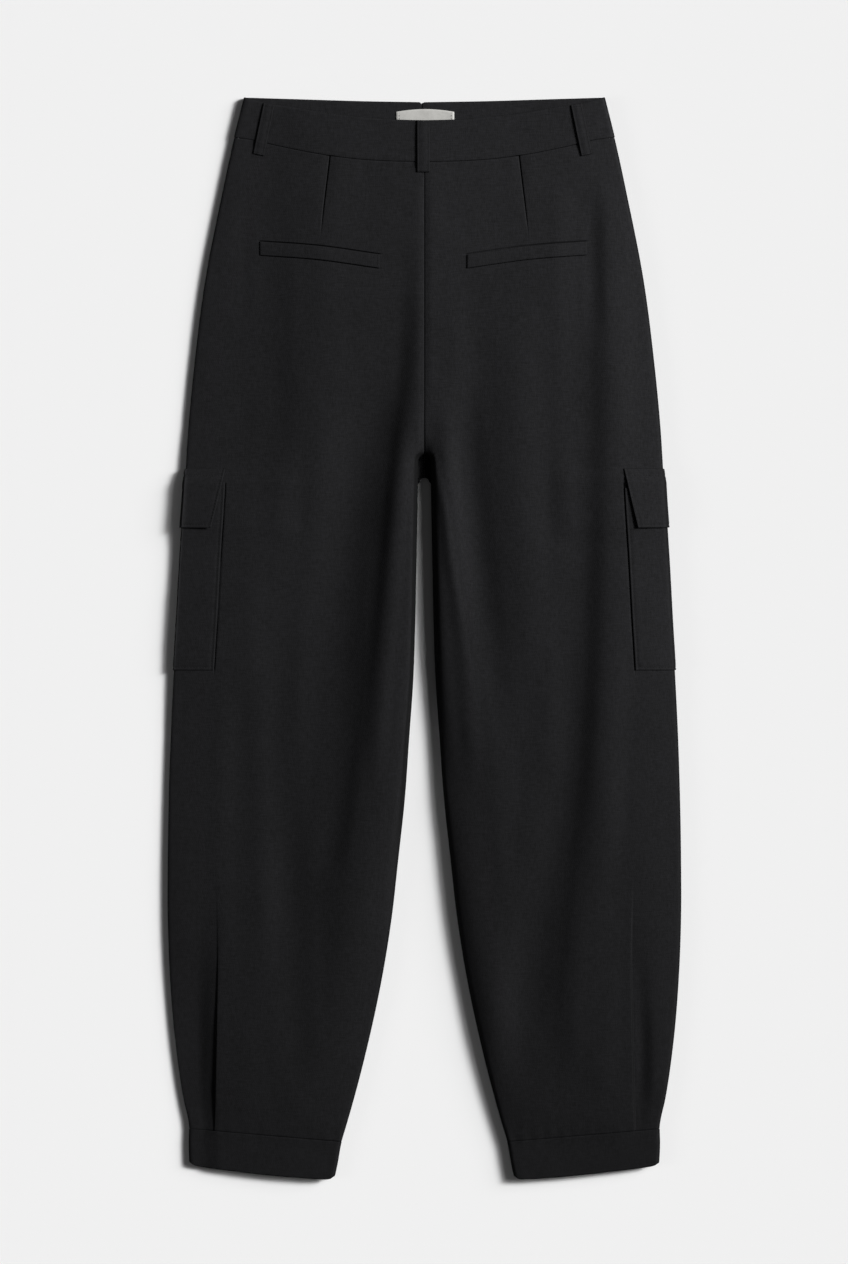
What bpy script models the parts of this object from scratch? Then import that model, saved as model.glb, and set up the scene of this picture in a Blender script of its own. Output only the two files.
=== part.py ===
"""Barrel leg trousers laid flat on their front, with the back facing up.

Sizes are millimetres until a mesh is made, which is in metres. x runs across the garment, y towards
the waist and z up from the surface it lies on. "down" is the distance below the two upper corners of
the waistband, and "out" is the distance from the centre line. Each leg is a flattened tube: a front
panel lies flat, and a back panel is crowned over it.
"""

from collections import namedtuple

import bmesh
import bpy
import numpy as np
from mathutils import Vector
from mathutils.bvhtree import BVHTree

MM = 0.001

# Driving dimensions
LENGTH = 1083.0  # waist corners to the lowest point of the hems
CLOTH = 1.2  # wall of one cloth
BAND_CLOTH = 2.0  # waistband, which is folded double
CUFF_CLOTH = 1.8
LABEL_CLOTH = 0.8
SEAM_GAP = 0.3  # between two pieces that are sewn together
SEAM_HEIGHT = 5.0  # of the side seams and inseams above the surface
BOTTOM_RADIUS = 5.0  # rounding of the leg's edge below its seam
TOP_RADIUS = 4.0  # and above it
SIDE_SLOPE = 70.0  # the back rises to its full crown over this width from the side
INSEAM_SLOPE = 55.0
FOLD_MARGIN = 14.0  # folds fade out this near to an edge
CROTCH = 358.5  # the crotch, below the waist corners
CROTCH_RADIUS = 6.0  # of the slot's round top; the outline has a station where it ends
SLOT = CROTCH + CROTCH_RADIUS

Station = namedtuple("Station", "down half_width half_gap crown")
OUTLINE = [
    Station(0.0, 180.5, 6.0, 11.0),
    Station(38.5, 190.1, 6.0, 11.5),
    Station(102.5, 204.0, 6.0, 14.0),
    Station(182.5, 219.6, 6.0, 16.0),
    Station(262.5, 230.0, 6.0, 17.0),
    Station(342.5, 237.4, 6.0, 17.0),
    Station(364.5, 238.7, 6.0, 17.0),
    Station(402.5, 240.6, 6.5, 17.0),
    Station(462.5, 244.5, 7.6, 17.0),
    Station(522.5, 247.8, 8.8, 17.0),
    Station(582.5, 251.4, 10.8, 17.0),
    Station(642.5, 254.3, 15.0, 17.0),
    Station(702.5, 256.2, 19.3, 17.0),
    Station(762.5, 257.2, 25.8, 16.5),
    Station(822.5, 257.2, 32.6, 16.0),
    Station(882.5, 254.9, 42.3, 15.0),
    Station(942.5, 250.0, 55.0, 14.0),
    Station(1002.5, 241.5, 70.2, 12.5),
    Station(1030.5, 235.8, 78.2, 11.5),
    Station(1048.0, 236.0, 83.3, 10.0),
    Station(1066.5, 235.2, 86.6, 10.0),
    Station(1083.0, 234.4, 90.0, 10.0),
]

# Seams and edges that run across the garment, as a drop below the waist corners at a distance out.
Edge = namedtuple("Edge", "out down")
BACK_WAIST = [
    Edge(0.0, 23.5),
    Edge(30.0, 22.7),
    Edge(60.0, 20.4),
    Edge(90.0, 17.2),
    Edge(140.0, 8.9),
    Edge(160.0, 5.8),
    Edge(180.5, 0.0),
]
BACK_BAND_SEAM = [
    Edge(0.0, 65.0),
    Edge(35.0, 64.3),
    Edge(70.0, 62.0),
    Edge(100.0, 58.0),
    Edge(150.0, 48.0),
    Edge(172.0, 42.8),
    Edge(190.0, 40.4),
]
FRONT_WAIST = [
    Edge(0.0, 4.6),
    Edge(60.0, 3.6),
    Edge(130.0, 1.5),
    Edge(180.5, 0.0),
]
CUFF_SEAM = [
    Edge(82.5, 1045.5),
    Edge(235.8, 1032.5),
]
HEM = [
    Edge(89.0, 1079.8),
    Edge(93.0, 1082.3),
    Edge(103.0, 1083.0),
    Edge(125.0, 1081.7),
    Edge(155.0, 1079.2),
    Edge(189.0, 1075.3),
    Edge(221.0, 1071.2),
    Edge(230.0, 1069.5),
    Edge(235.5, 1066.8),
]
FRONT_BAND_HEIGHT = 40.4
BAND_PROUD = 0.4  # the near band stands proud of the panels sewn to it
CLOSURE_X = -2.5  # the two front bands meet here, just left of the centre line
NOTCH_DEPTH = 2.5  # their rounded corners leave a small notch in the top edge
NOTCH_HALF_WIDTH = 2.8

# Soft folds of the back: each runs through three points, with its height and its reach to each side.
Fold = namedtuple("Fold", "side down out height inner_reach outer_reach")
LEFT, RIGHT, BOTH = -1, 1, 0
FOLD_FADE = 70.0  # a fold rises from nothing over this length
FOLDS = [
    Fold(BOTH, (40, 180, 346), (0, 0, 0), -0.8, 7, 7),  # centre back seam
    Fold(BOTH, (300, 470, 700), (16, 31, 52), 1.6, 14, 16),  # ridge beside the inseam
    Fold(BOTH, (270, 470, 800), (34, 54, 98), -2.4, 20, 24),  # trough beyond it
    Fold(BOTH, (60, 420, 1010), (158, 158, 128), -2.6, 30, 26),  # long outer trough
    Fold(RIGHT, (80, 170, 260), (170, 170, 172), -1.2, 14, 14),  # below the side belt loop
    Fold(LEFT, (80, 170, 260), (181, 181, 182), -1.2, 14, 14),
    Fold(BOTH, (640, 800, 1030), (185, 182, 176), 1.0, 26, 22),  # barrel of the lower leg
]

# Knife tuck that takes the leg's fullness into the cuff. Its line runs on up the leg, past the inner
# edge of the cargo pocket, where it has no depth.
Tuck = namedtuple("Tuck", "down out depth")
TUCK = [
    Tuck(40.0, 150.0, 0.0),
    Tuck(200.0, 178.0, 0.0),
    Tuck(390.0, 198.5, 0.0),
    Tuck(575.0, 209.3, 0.0),
    Tuck(700.0, 210.5, 0.0),
    Tuck(780.0, 208.5, 0.0),
    Tuck(850.0, 207.0, 0.9),
    Tuck(930.0, 208.2, 2.6),
    Tuck(995.0, 209.6, 3.4),
    Tuck(1034.0, 210.5, 0.9),
]
TUCK_HALF_STEP = 1.5  # the fold's edge drops over twice this width
TUCK_RECOVERY = 30.0

# Waist dart of each back panel.
DART_TOP_OUT = 94.5
DART_END_OUT = 104.0
DART_LENGTH = 82.0
DART_DEPTH = 0.7
DART_REACH = 8.0  # to each side of its line

# Cargo pocket and flap, as distances from the side seam round the leg.
POCKET_TOP = 391.5
POCKET_END = 573.5
POCKET_BACK_WIDTH = 40.0
POCKET_FRONT_WIDTH = 88.0
POCKET_MIDDLE = 25.0  # a column of the pocket's grid, on the back
FLAP_TOP = 372.0
FLAP_OVER_POCKET = 386.0
FLAP_END = 431.0
FLAP_STAND = 2.2  # how far the flap's lower inner corner stands off the pocket
FLAP_SIDE_SHARE = 0.2  # of that at the side seam
FLAP_SKEW = 0.26  # share of its back width that the flap loses at its lower edge

# The leg is lifted by what lies under it at the side.
Lift = namedtuple("Lift", "down height")
PATCH = CLOTH + SEAM_GAP
LIFTS = [
    Lift(328.0, 0.0),
    Lift(FLAP_TOP, PATCH),
    Lift(FLAP_OVER_POCKET, 2 * PATCH),
    Lift(FLAP_END, 2 * PATCH),
    Lift(446.0, PATCH),
    Lift(POCKET_END, PATCH),
    Lift(640.0, 0.0),
]
LIFT_HOLD = POCKET_FRONT_WIDTH + 4.0
LIFT_RUN_OUT = 28.0

# Belt loops, from the waistband's top edge to a drop below the waist corners.
Loop = namedtuple("Loop", "name top_x end_x end_down width")
LOOPS = [
    Loop("belt_loop_centre", -1.2, -1.0, 75.5, 12.7),
    Loop("belt_loop_left", -155.5, -166.0, 57.8, 11.0),
    Loop("belt_loop_right", 151.8, 162.4, 58.3, 11.0),
]
LOOP_CLOTH = 1.6
LOOP_INSET = 0.4  # its top lies this far inside the waistband's edge
LOOP_STAND = 1.8  # its middle stands off the waistband
LOOP_STAND_POWER = 0.7  # below 1, so that it rises quickly from its ends

# Welts: outer end, inner end and height.
WELT_OUTER = Edge(164.0, 144.7)
WELT_MIDDLE = Edge(107.0, 149.3)
WELT_INNER = Edge(44.3, 158.1)
WELT_HEIGHT = 13.6
WELT_SIDE_SHIFT = {LEFT: -0.5, RIGHT: -1.5}

LABEL_WIDTH = 58.0
LABEL_HEIGHT = 24.0
LABEL_DOWN = 14.4  # its ends, below the waist corners
LABEL_BOW = 2.7
LABEL_CENTRE = 0.85

# Grids: steps from an edge, in the order that they are met from the side seam inwards.
FRONT_MIDDLE_STEP = 46.0  # where the front's lift is still whole
TOP_EDGE_STEPS = TOP_RADIUS * (1 - np.cos(np.radians([0, 30, 60, 90])))
BOTTOM_EDGE_STEPS = BOTTOM_RADIUS * (1 - np.cos(np.radians([0, 30, 60, 90])))
BACK_SIDE_STEPS = np.append(TOP_EDGE_STEPS, 10.0)
BACK_INNER_STEPS = np.append([42.0, 30.0, 20.0, 11.0], TOP_EDGE_STEPS[::-1])
FRONT_SIDE_STEPS = np.append(
    BOTTOM_EDGE_STEPS, [FRONT_MIDDLE_STEP, LIFT_HOLD, LIFT_HOLD + LIFT_RUN_OUT]
)
FRONT_INNER_STEPS = np.append([40.0], BOTTOM_EDGE_STEPS[::-1])
PATCH_BACK_STEPS = np.append(BACK_SIDE_STEPS, [POCKET_MIDDLE, POCKET_BACK_WIDTH])
PATCH_FRONT_STEPS = np.append(BOTTOM_EDGE_STEPS, [FRONT_MIDDLE_STEP, POCKET_FRONT_WIDTH])
BACK_MIDDLE_SHARES = np.array([0.2, 0.4, 0.6, 0.8])
FRONT_MIDDLE_SHARES = np.array([0.5])

BAND_SHARES = np.linspace(0, 1, 11)[1:-1]
BAND_ROWS = (0.0, 0.35, 0.7, 1.0)
CUFF_ROWS = (0.0, 0.33, 0.67, 1.0)
CUFF_BACK_SHARES = np.linspace(0, 1, 8)[1:-1]
CUFF_FRONT_SHARES = np.array([0.5])
LOOP_ROWS = 10
WELT_COLUMNS = 13
LABEL_COLUMNS = 9
STRIP_REACH = 1.5  # a strip clears what lies this near to each of its points
RAY_START = 1000.0  # well above the garment
SLOPE_STEP = 0.02  # over which a slope is taken
AT_SEAM = 0.01  # a point this near to a seam is on it
SHARP_ANGLE = 50.0  # edges turned by more than this many degrees look sharp

# A row's drop depends on its place across and the reverse, so both are worked out in turns.
TURNS = 6
WAIST_SEAM_GUESS = 60.0
CUFF_SEAM_GUESS = 1038.0
BAND_GUESS = 30.0
CUFF_GUESS = 1045.0

TOP_BLOCK_END = 140.0  # rows are bent to the waist seam above this
HEM_BLOCK_START = 985.0  # and to the cuff seam below this
TOP_BLOCK_SHARES = (0.0, 0.16, 0.4, 0.7)
HEM_BLOCK_SHARES = (0.35, 0.7, 1.0)
ABOVE_CROTCH_ROWS = (140.0, 172.0, 206.0, 240.0, 274.0, 304.0, 328.0, 345.0, 353.5, 357.0)
CROTCH_ROWS = tuple(CROTCH + CROTCH_RADIUS * (1 - np.cos(np.radians([0, 30, 60, 90]))))
POCKET_ROWS = (372.0, 386.0, 391.5, 410.0, 431.0, 446.0, 488.0, 530.0, 573.5, 600.0)
LOWER_LEG_ROWS = (640.0, 680.0, 720.0, 760.0, 800.0, 840.0, 880.0, 920.0, 955.0, 985.0)
STRAIGHT_ROWS = ABOVE_CROTCH_ROWS + CROTCH_ROWS + POCKET_ROWS + LOWER_LEG_ROWS
SIDES = ((LEFT, "left"), (RIGHT, "right"))


def named_column(table, name):
    return np.array([getattr(row, name) for row in table], float)


def smooth(place, places, values):
    """The cubic curve through a table's values that leaves each with its neighbours' slope."""
    slopes = np.gradient(values, places)
    place = np.clip(place, places[0], places[-1])
    low = np.clip(np.searchsorted(places, place) - 1, 0, len(places) - 2)
    span = places[low + 1] - places[low]
    t = (place - places[low]) / span
    start = (1 + 2 * t) * (1 - t) ** 2 * values[low] + t**2 * (3 - 2 * t) * values[low + 1]
    return start + span * (t * (1 - t) ** 2 * slopes[low] - t**2 * (1 - t) * slopes[low + 1])


def soft_step(t):
    t = np.clip(t, 0, 1)
    return t * t * (3 - 2 * t)


def quarter_round(t):
    return np.sqrt(1 - (1 - np.clip(t, 0, 1)) ** 2)


def ease_out(t):
    return 1 - (1 - np.clip(t, 0, 1)) ** 2


def outline(down, name):
    return smooth(down, named_column(OUTLINE, "down"), named_column(OUTLINE, name))


def edge_line(table, out):
    return smooth(out, named_column(table, "out"), named_column(table, "down"))


def tuck_line(down):
    return smooth(down, named_column(TUCK, "down"), named_column(TUCK, "out"))


def front_band_seam(out):
    return edge_line(FRONT_WAIST, out) + FRONT_BAND_HEIGHT


def side_edge(down):
    return outline(down, "half_width")


def half_gap(down):
    return outline(np.maximum(down, SLOT), "half_gap")


def inner_edge(down):
    """Inseam below the crotch, its round top, or the centre seam above."""
    rise = np.clip(SLOT - down, 0, CROTCH_RADIUS)
    return np.maximum(np.sqrt(half_gap(down) ** 2 - rise**2), SEAM_GAP / 2)


def from_side(out, down):
    return side_edge(down) - out


def from_inseam(out, down):
    """Distance in plan from the slot between the legs."""
    return np.hypot(out, np.maximum(SLOT - down, 0)) - half_gap(down)


def lift(out, down):
    height = np.interp(down, named_column(LIFTS, "down"), named_column(LIFTS, "height"))
    return height * (1 - soft_step((from_side(out, down) - LIFT_HOLD) / LIFT_RUN_OUT))


def fold_height(fold, out, down):
    centre = smooth(down, np.array(fold.down, float), np.array(fold.out, float))
    reach = np.where(out < centre, fold.inner_reach, fold.outer_reach)
    across = 0.5 + 0.5 * np.cos(np.pi * np.clip((out - centre) / reach, -1, 1))
    along = soft_step((down - fold.down[0]) / FOLD_FADE) * soft_step((fold.down[2] - down) / FOLD_FADE)
    return fold.height * across * along


def tuck_height(out, down):
    depth = np.interp(down, named_column(TUCK, "down"), named_column(TUCK, "depth"))
    depth = np.where(down < edge_line(CUFF_SEAM, out), depth, 0)
    past = out - tuck_line(down)
    drop = soft_step((past + TUCK_HALF_STEP) / (2 * TUCK_HALF_STEP))
    return -depth * drop * (1 - np.clip(past / TUCK_RECOVERY, 0, 1)) ** 2


def dart_height(out, down):
    share = (down - edge_line(BACK_BAND_SEAM, DART_TOP_OUT)) / DART_LENGTH
    centre = DART_TOP_OUT + (DART_END_OUT - DART_TOP_OUT) * share
    across = np.clip(1 - np.abs(out - centre) / DART_REACH, 0, 1)
    return -DART_DEPTH * across * np.where(share < 1, 1 - soft_step(share), 0)


def back_height(side, out, down):
    """Outer face of the back: round edges, a crown, and the folds."""
    at_side = from_side(out, down)
    at_inseam = from_inseam(out, down)
    edge = quarter_round(at_side / TOP_RADIUS) * quarter_round(at_inseam / TOP_RADIUS)
    slope = ease_out(at_side / SIDE_SLOPE) * ease_out(at_inseam / INSEAM_SLOPE)
    crown = outline(down, "crown") - SEAM_HEIGHT - TOP_RADIUS
    folds = sum(fold_height(fold, out, down) for fold in FOLDS if fold.side in (side, BOTH))
    folds = folds + tuck_height(out, down) + dart_height(out, down)
    inside = soft_step(at_side / FOLD_MARGIN) * soft_step(at_inseam / FOLD_MARGIN)
    seam = SEAM_HEIGHT + SEAM_GAP / 2
    return lift(out, down) + seam + TOP_RADIUS * edge + crown * slope + folds * inside


def front_height(side, out, down):
    """Outer face of the front, which is flat but for its round edges and what lies under it."""
    at_side = from_side(out, down)
    at_inseam = from_inseam(out, down)
    edge = quarter_round(at_side / BOTTOM_RADIUS) * quarter_round(at_inseam / BOTTOM_RADIUS)
    return lift(out, down) + (SEAM_HEIGHT - SEAM_GAP / 2) * (1 - edge)


def slope_of(function, out, down):
    step = SLOPE_STEP
    across = (function(out + step, down) - function(out - step, down)) / (2 * step)
    along = (function(out, down + step) - function(out, down - step)) / (2 * step)
    return across, along


def unit(vectors):
    return vectors / np.linalg.norm(vectors, axis=-1, keepdims=True)


def face_normals(height, side, out, down, upward):
    """Normals that point out of the cloth: level at a side seam or inseam, upright at the centre."""
    across, along = slope_of(lambda o, d: height(side, o, d), out, down)
    normals = unit(np.stack([-across, along, np.ones_like(out)], axis=-1) * upward)
    for distance in (from_side, from_inseam):
        across, along = slope_of(distance, out, down)
        level = unit(np.stack([-across, along, np.zeros_like(out)], axis=-1))
        normals = np.where((np.abs(distance(out, down)) < AT_SEAM)[..., None], level, normals)
    centre = (out < SEAM_GAP) & (down < CROTCH)
    normals[..., 0] = np.where(centre, 0, normals[..., 0])
    return unit(normals) * np.array([side, 1, 1])


def place(side, out, down, height):
    return np.stack([side * out, LENGTH / 2 - down, height], axis=-1)


class Sheet:
    """One cloth's outer face as a grid of points, with the normals that point out of the cloth."""

    def __init__(self, points, normals, down=None):
        self.points = points
        self.normals = normals
        self.down = down

    def moved(self, distance):
        distance = np.asarray(distance, float)
        return self.points + self.normals * (distance[..., None] if distance.ndim else distance)


def leg_columns(down, side_steps, inner_steps, shares, guide_columns):
    """Distances out of a panel's columns, from the side seam to the inseam."""
    count = len(side_steps)
    columns = [side_edge(down[:, i]) - side_steps[i] for i in range(count)]
    if guide_columns:
        guide = tuck_line(down[:, count + 1])
        columns.append((columns[-1] + guide) / 2)
        columns.extend([guide + TUCK_HALF_STEP, guide - TUCK_HALF_STEP])
    first = len(columns) + len(shares)
    inner = [inner_edge(down[:, first + i]) + step for i, step in enumerate(inner_steps)]
    columns.extend([columns[-1] * (1 - share) + inner[0] * share for share in shares])
    columns.extend(inner)
    return np.stack(columns, axis=1)


def leg_sheet(side, height, upward, top_seam, layout):
    """A leg panel from its waist seam to the cuff seam."""
    straight = [TOP_BLOCK_END * share for share in TOP_BLOCK_SHARES]
    straight += list(STRAIGHT_ROWS) + [HEM_BLOCK_START * (1 - share) for share in HEM_BLOCK_SHARES]
    top = [1 - share for share in TOP_BLOCK_SHARES] + [0] * (len(STRAIGHT_ROWS) + len(HEM_BLOCK_SHARES))
    hem = [0] * (len(TOP_BLOCK_SHARES) + len(STRAIGHT_ROWS)) + list(HEM_BLOCK_SHARES)
    straight, top, hem = (np.array(values, float)[:, None] for values in (straight, top, hem))
    side_steps, inner_steps, shares, guide_columns = layout
    columns = len(side_steps) + len(inner_steps) + len(shares) + 3 * guide_columns
    down = straight + WAIST_SEAM_GUESS * top + CUFF_SEAM_GUESS * hem + np.zeros((1, columns))
    for _ in range(TURNS):
        out = leg_columns(down, side_steps, inner_steps, shares, guide_columns)
        seam = top_seam(out) + SEAM_GAP / 2
        cuff = edge_line(CUFF_SEAM, out) - SEAM_GAP / 2
        down = straight + top * seam + hem * cuff
    points = place(side, out, down, height(side, out, down))
    return Sheet(points, face_normals(height, side, out, down, upward), down)


def back_sheet(side):
    layout = (BACK_SIDE_STEPS, BACK_INNER_STEPS, BACK_MIDDLE_SHARES, True)
    return leg_sheet(side, back_height, 1, lambda out: edge_line(BACK_BAND_SEAM, out), layout)


def front_sheet(side):
    layout = (FRONT_SIDE_STEPS, FRONT_INNER_STEPS, FRONT_MIDDLE_SHARES, False)
    return leg_sheet(side, front_height, -1, front_band_seam, layout)


def grid_faces(rows, columns, start):
    index = start + np.arange(rows * columns).reshape(rows, columns)
    corners = (index[:-1, :-1], index[:-1, 1:], index[1:, 1:], index[1:, :-1])
    return np.stack([corner.ravel() for corner in corners], axis=1)


def rim_faces(rows, columns, closed):
    """Faces that join an outer grid to the inner grid behind it along their free edges."""
    index = np.arange(rows * columns).reshape(rows, columns)
    edges = [index[0], index[-1]] if closed else [index[0], index[-1], index[:, 0], index[:, -1]]
    inner = rows * columns
    faces = [np.stack([e[:-1], e[1:], e[1:] + inner, e[:-1] + inner], axis=1) for e in edges]
    return np.concatenate(faces)


def solid(name, outer, inner, material, closed=False):
    """A closed wall between two grids of points. A closed one repeats its first column at its end."""
    rows, columns = outer.shape[:2]
    points = np.concatenate([outer.reshape(-1, 3), inner.reshape(-1, 3)]) * MM
    faces = np.concatenate(
        [
            grid_faces(rows, columns, 0),
            grid_faces(rows, columns, rows * columns),
            rim_faces(rows, columns, closed),
        ]
    )
    mesh = bpy.data.meshes.new(name)
    body = bmesh.new()
    corners = [body.verts.new(point) for point in points]
    for face in faces:
        body.faces.new([corners[i] for i in face])
    if closed:
        bmesh.ops.remove_doubles(body, verts=body.verts, dist=1e-7)
    bmesh.ops.recalc_face_normals(body, faces=body.faces)
    body.to_mesh(mesh)
    body.free()
    mesh.materials.append(material)
    mesh.shade_smooth()
    mesh.set_sharp_from_angle(angle=np.radians(SHARP_ANGLE))
    made = bpy.data.objects.new(name, mesh)
    bpy.context.scene.collection.objects.link(made)
    return made


def cloth_material(name, colour, roughness):
    material = bpy.data.materials.new(name)
    material.use_nodes = True
    shader = material.node_tree.nodes["Principled BSDF"]
    shader.inputs["Base Color"].default_value = (*colour, 1.0)
    shader.inputs["Roughness"].default_value = roughness
    shader.inputs["Metallic"].default_value = 0.0
    return material


def top_of(trees, x, y):
    """Height of the highest face under a point, among finished solids."""
    start = Vector((x, y, RAY_START)) * MM
    hits = [tree.ray_cast(start, Vector((0, 0, -1)))[0] for tree in trees]
    return max((hit.z for hit in hits if hit), default=0.0) / MM


def tree_of(made):
    mesh = made.data
    return BVHTree.FromPolygons([v.co for v in mesh.vertices], [p.vertices[:] for p in mesh.polygons])


def band_columns(down, side_steps, shares, end, end_steps):
    """Distances out of a band's columns, from its side seam to its end near the centre."""
    columns = [side_edge(down[:, i]) - step for i, step in enumerate(side_steps)]
    last = end + end_steps[0]
    columns.extend([columns[-1] * (1 - share) + last * share for share in shares])
    columns.extend([end + step + 0 * columns[0] for step in end_steps])
    return np.stack(columns, axis=1)


def band_sheet(side, height, upward, columns, top_edge, lower_edge):
    """Half of a waistband, from its side seam to its end near the centre line."""
    rows = np.array(BAND_ROWS)[:, None]
    down = BAND_GUESS * rows + np.zeros((1, sum(len(steps) for steps in columns if np.ndim(steps))))
    for _ in range(TURNS):
        out = band_columns(down, *columns)
        down = top_edge(out) * (1 - rows) + (lower_edge(np.abs(out)) - SEAM_GAP / 2) * rows
    points = place(side, out, down, height(side, out, down))
    return Sheet(points, face_normals(height, side, out, down, upward), down)


def side_by_side(first, second):
    """Two sheets as one, the second running on from the first's last column."""
    points = np.concatenate([first.points, second.points], axis=1)
    return Sheet(points, np.concatenate([first.normals, second.normals], axis=1))


def reversed_columns(sheet, skip=0):
    """The sheet with its columns in the other order, without the first few of the new order."""
    return Sheet(sheet.points[:, ::-1][:, skip:], sheet.normals[:, ::-1][:, skip:])


def back_waistband(material):
    columns = (TOP_EDGE_STEPS, BAND_SHARES, 0.0, np.array([0.0]))
    halves = [
        band_sheet(
            side,
            back_height,
            1,
            columns,
            lambda out: edge_line(BACK_WAIST, out),
            lambda out: edge_line(BACK_BAND_SEAM, out),
        )
        for side, _ in SIDES
    ]
    band = side_by_side(halves[0], reversed_columns(halves[1], skip=1))
    return solid("back_waistband", band.moved(BAND_PROUD), band.moved(BAND_PROUD - BAND_CLOTH), material)


def front_waistband(side, name, material):
    end = side * CLOSURE_X + SEAM_GAP / 2

    def top_edge(out):
        near = np.clip(1 - (out - end) / NOTCH_HALF_WIDTH, 0, 1)
        return edge_line(FRONT_WAIST, np.abs(out)) + NOTCH_DEPTH * near**2

    columns = (BOTTOM_EDGE_STEPS, BAND_SHARES, end, np.array([10.0, NOTCH_HALF_WIDTH, 1.2, 0.0]))
    band = band_sheet(side, front_height, -1, columns, top_edge, front_band_seam)
    return solid(f"front_waistband_{name}", band.moved(0), band.moved(-BAND_CLOTH), material)


def sample(sheet, rows, columns):
    """Points and normals of a sheet at fractional row and column numbers, all from its own faces."""
    rows, columns = np.broadcast_arrays(rows, columns)
    low_row = np.clip(np.floor(rows).astype(int), 0, sheet.points.shape[0] - 2)
    low_column = np.clip(np.floor(columns).astype(int), 0, sheet.points.shape[1] - 2)
    down_share = (rows - low_row)[..., None]
    across_share = (columns - low_column)[..., None]

    def blend(values):
        near = values[low_row, low_column] * (1 - across_share)
        near = near + values[low_row, low_column + 1] * across_share
        far = values[low_row + 1, low_column] * (1 - across_share)
        far = far + values[low_row + 1, low_column + 1] * across_share
        return near * (1 - down_share) + far * down_share

    return Sheet(blend(sheet.points), unit(blend(sheet.normals)))


def row_of(sheet, down):
    """Fractional row number at a drop below the waist corners, in the rows that run straight."""
    return np.interp(down, sheet.down[:, 0], np.arange(len(sheet.down)))


def patch_fall(down):
    """How far down a patch each of its rows is, from 0 at its first to 1 at its last."""
    return ((down - down[0]) / (down[-1] - down[0]))[:, None]


def patch_sheet(back, front, down, skew=0.0):
    """A patch that wraps round the side seam, from the legs' own points.

    Its first column lies at the pocket's inner edge. Skew draws the lower rows in towards the side
    seam, as a share of the back width.
    """
    steps = PATCH_BACK_STEPS
    shift = skew * np.clip((steps - TOP_RADIUS) / (POCKET_BACK_WIDTH - TOP_RADIUS), 0, 1)
    back_columns = np.interp(steps * (1 - shift * patch_fall(down)), steps, np.arange(len(steps)))
    front_columns = np.interp(PATCH_FRONT_STEPS, FRONT_SIDE_STEPS, np.arange(len(FRONT_SIDE_STEPS)))
    back_part = sample(back, row_of(back, down)[:, None], back_columns)
    front_part = sample(front, row_of(front, down)[:, None], front_columns)
    return side_by_side(reversed_columns(back_part), front_part)


def cargo_pocket(name, back, front, material):
    rows = np.array([row for row in STRAIGHT_ROWS if POCKET_TOP <= row <= POCKET_END])
    patch = patch_sheet(back, front, rows)
    return solid(f"cargo_pocket_{name}", patch.moved(SEAM_GAP + CLOTH), patch.moved(SEAM_GAP), material)


def cargo_flap(name, back, front, material):
    rows = np.array([row for row in STRAIGHT_ROWS if FLAP_TOP <= row <= FLAP_END])
    patch = patch_sheet(back, front, rows, skew=FLAP_SKEW)
    under = np.interp(rows, named_column(LIFTS, "down"), named_column(LIFTS, "height"))
    steps = np.concatenate([PATCH_BACK_STEPS[::-1], -PATCH_FRONT_STEPS])
    stand = np.interp(steps, [-BOTTOM_RADIUS, 0, POCKET_BACK_WIDTH], [0, FLAP_SIDE_SHARE, 1])
    outer = under[:, None] + FLAP_STAND * patch_fall(rows) ** 2 * stand
    return solid(f"cargo_flap_{name}", patch.moved(outer), patch.moved(outer - CLOTH), material)


def cuff_part(side, height, upward, side_steps, inner_steps, shares):
    rows = np.array(CUFF_ROWS)[:, None]
    down = CUFF_GUESS + BAND_GUESS * rows
    down = down + np.zeros((1, len(side_steps) + len(shares) + len(inner_steps)))
    for _ in range(TURNS):
        out = leg_columns(down, side_steps, inner_steps, shares, False)
        seam = edge_line(CUFF_SEAM, out) + SEAM_GAP / 2
        down = seam * (1 - rows) + edge_line(HEM, out) * rows
    points = place(side, out, down, height(side, out, down))
    return Sheet(points, face_normals(height, side, out, down, upward), down)


def hem_cuff(side, name, material):
    """A flattened ring: over the back from the side to the inseam, and back under the front."""
    over = cuff_part(side, back_height, 1, TOP_EDGE_STEPS, TOP_EDGE_STEPS[::-1], CUFF_BACK_SHARES)
    under = cuff_part(
        side, front_height, -1, BOTTOM_EDGE_STEPS, BOTTOM_EDGE_STEPS[::-1], CUFF_FRONT_SHARES
    )
    ring = side_by_side(over, reversed_columns(under))
    first = Sheet(ring.points[:, :1], ring.normals[:, :1])
    ring = side_by_side(ring, first)
    return solid(f"hem_cuff_{name}", ring.moved(0), ring.moved(-CUFF_CLOTH), material, closed=True)


def leg_panel(name, sheet, material):
    return solid(name, sheet.moved(0), sheet.moved(-CLOTH), material)


def laid_strip(name, trees, x, down, cloth, stand, material):
    """A strip on what is already there: a grid of places, each just above the highest face there."""
    heights = np.zeros_like(x)
    for index in np.ndindex(x.shape):
        near = [down[index] + shift for shift in (-STRIP_REACH, 0.0, STRIP_REACH)]
        heights[index] = max(top_of(trees, x[index], LENGTH / 2 - d) for d in near)
    under = place(1, x, down, heights + SEAM_GAP + stand)
    over = place(1, x, down, heights + SEAM_GAP + stand + cloth)
    return solid(name, over, under, material)


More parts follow.
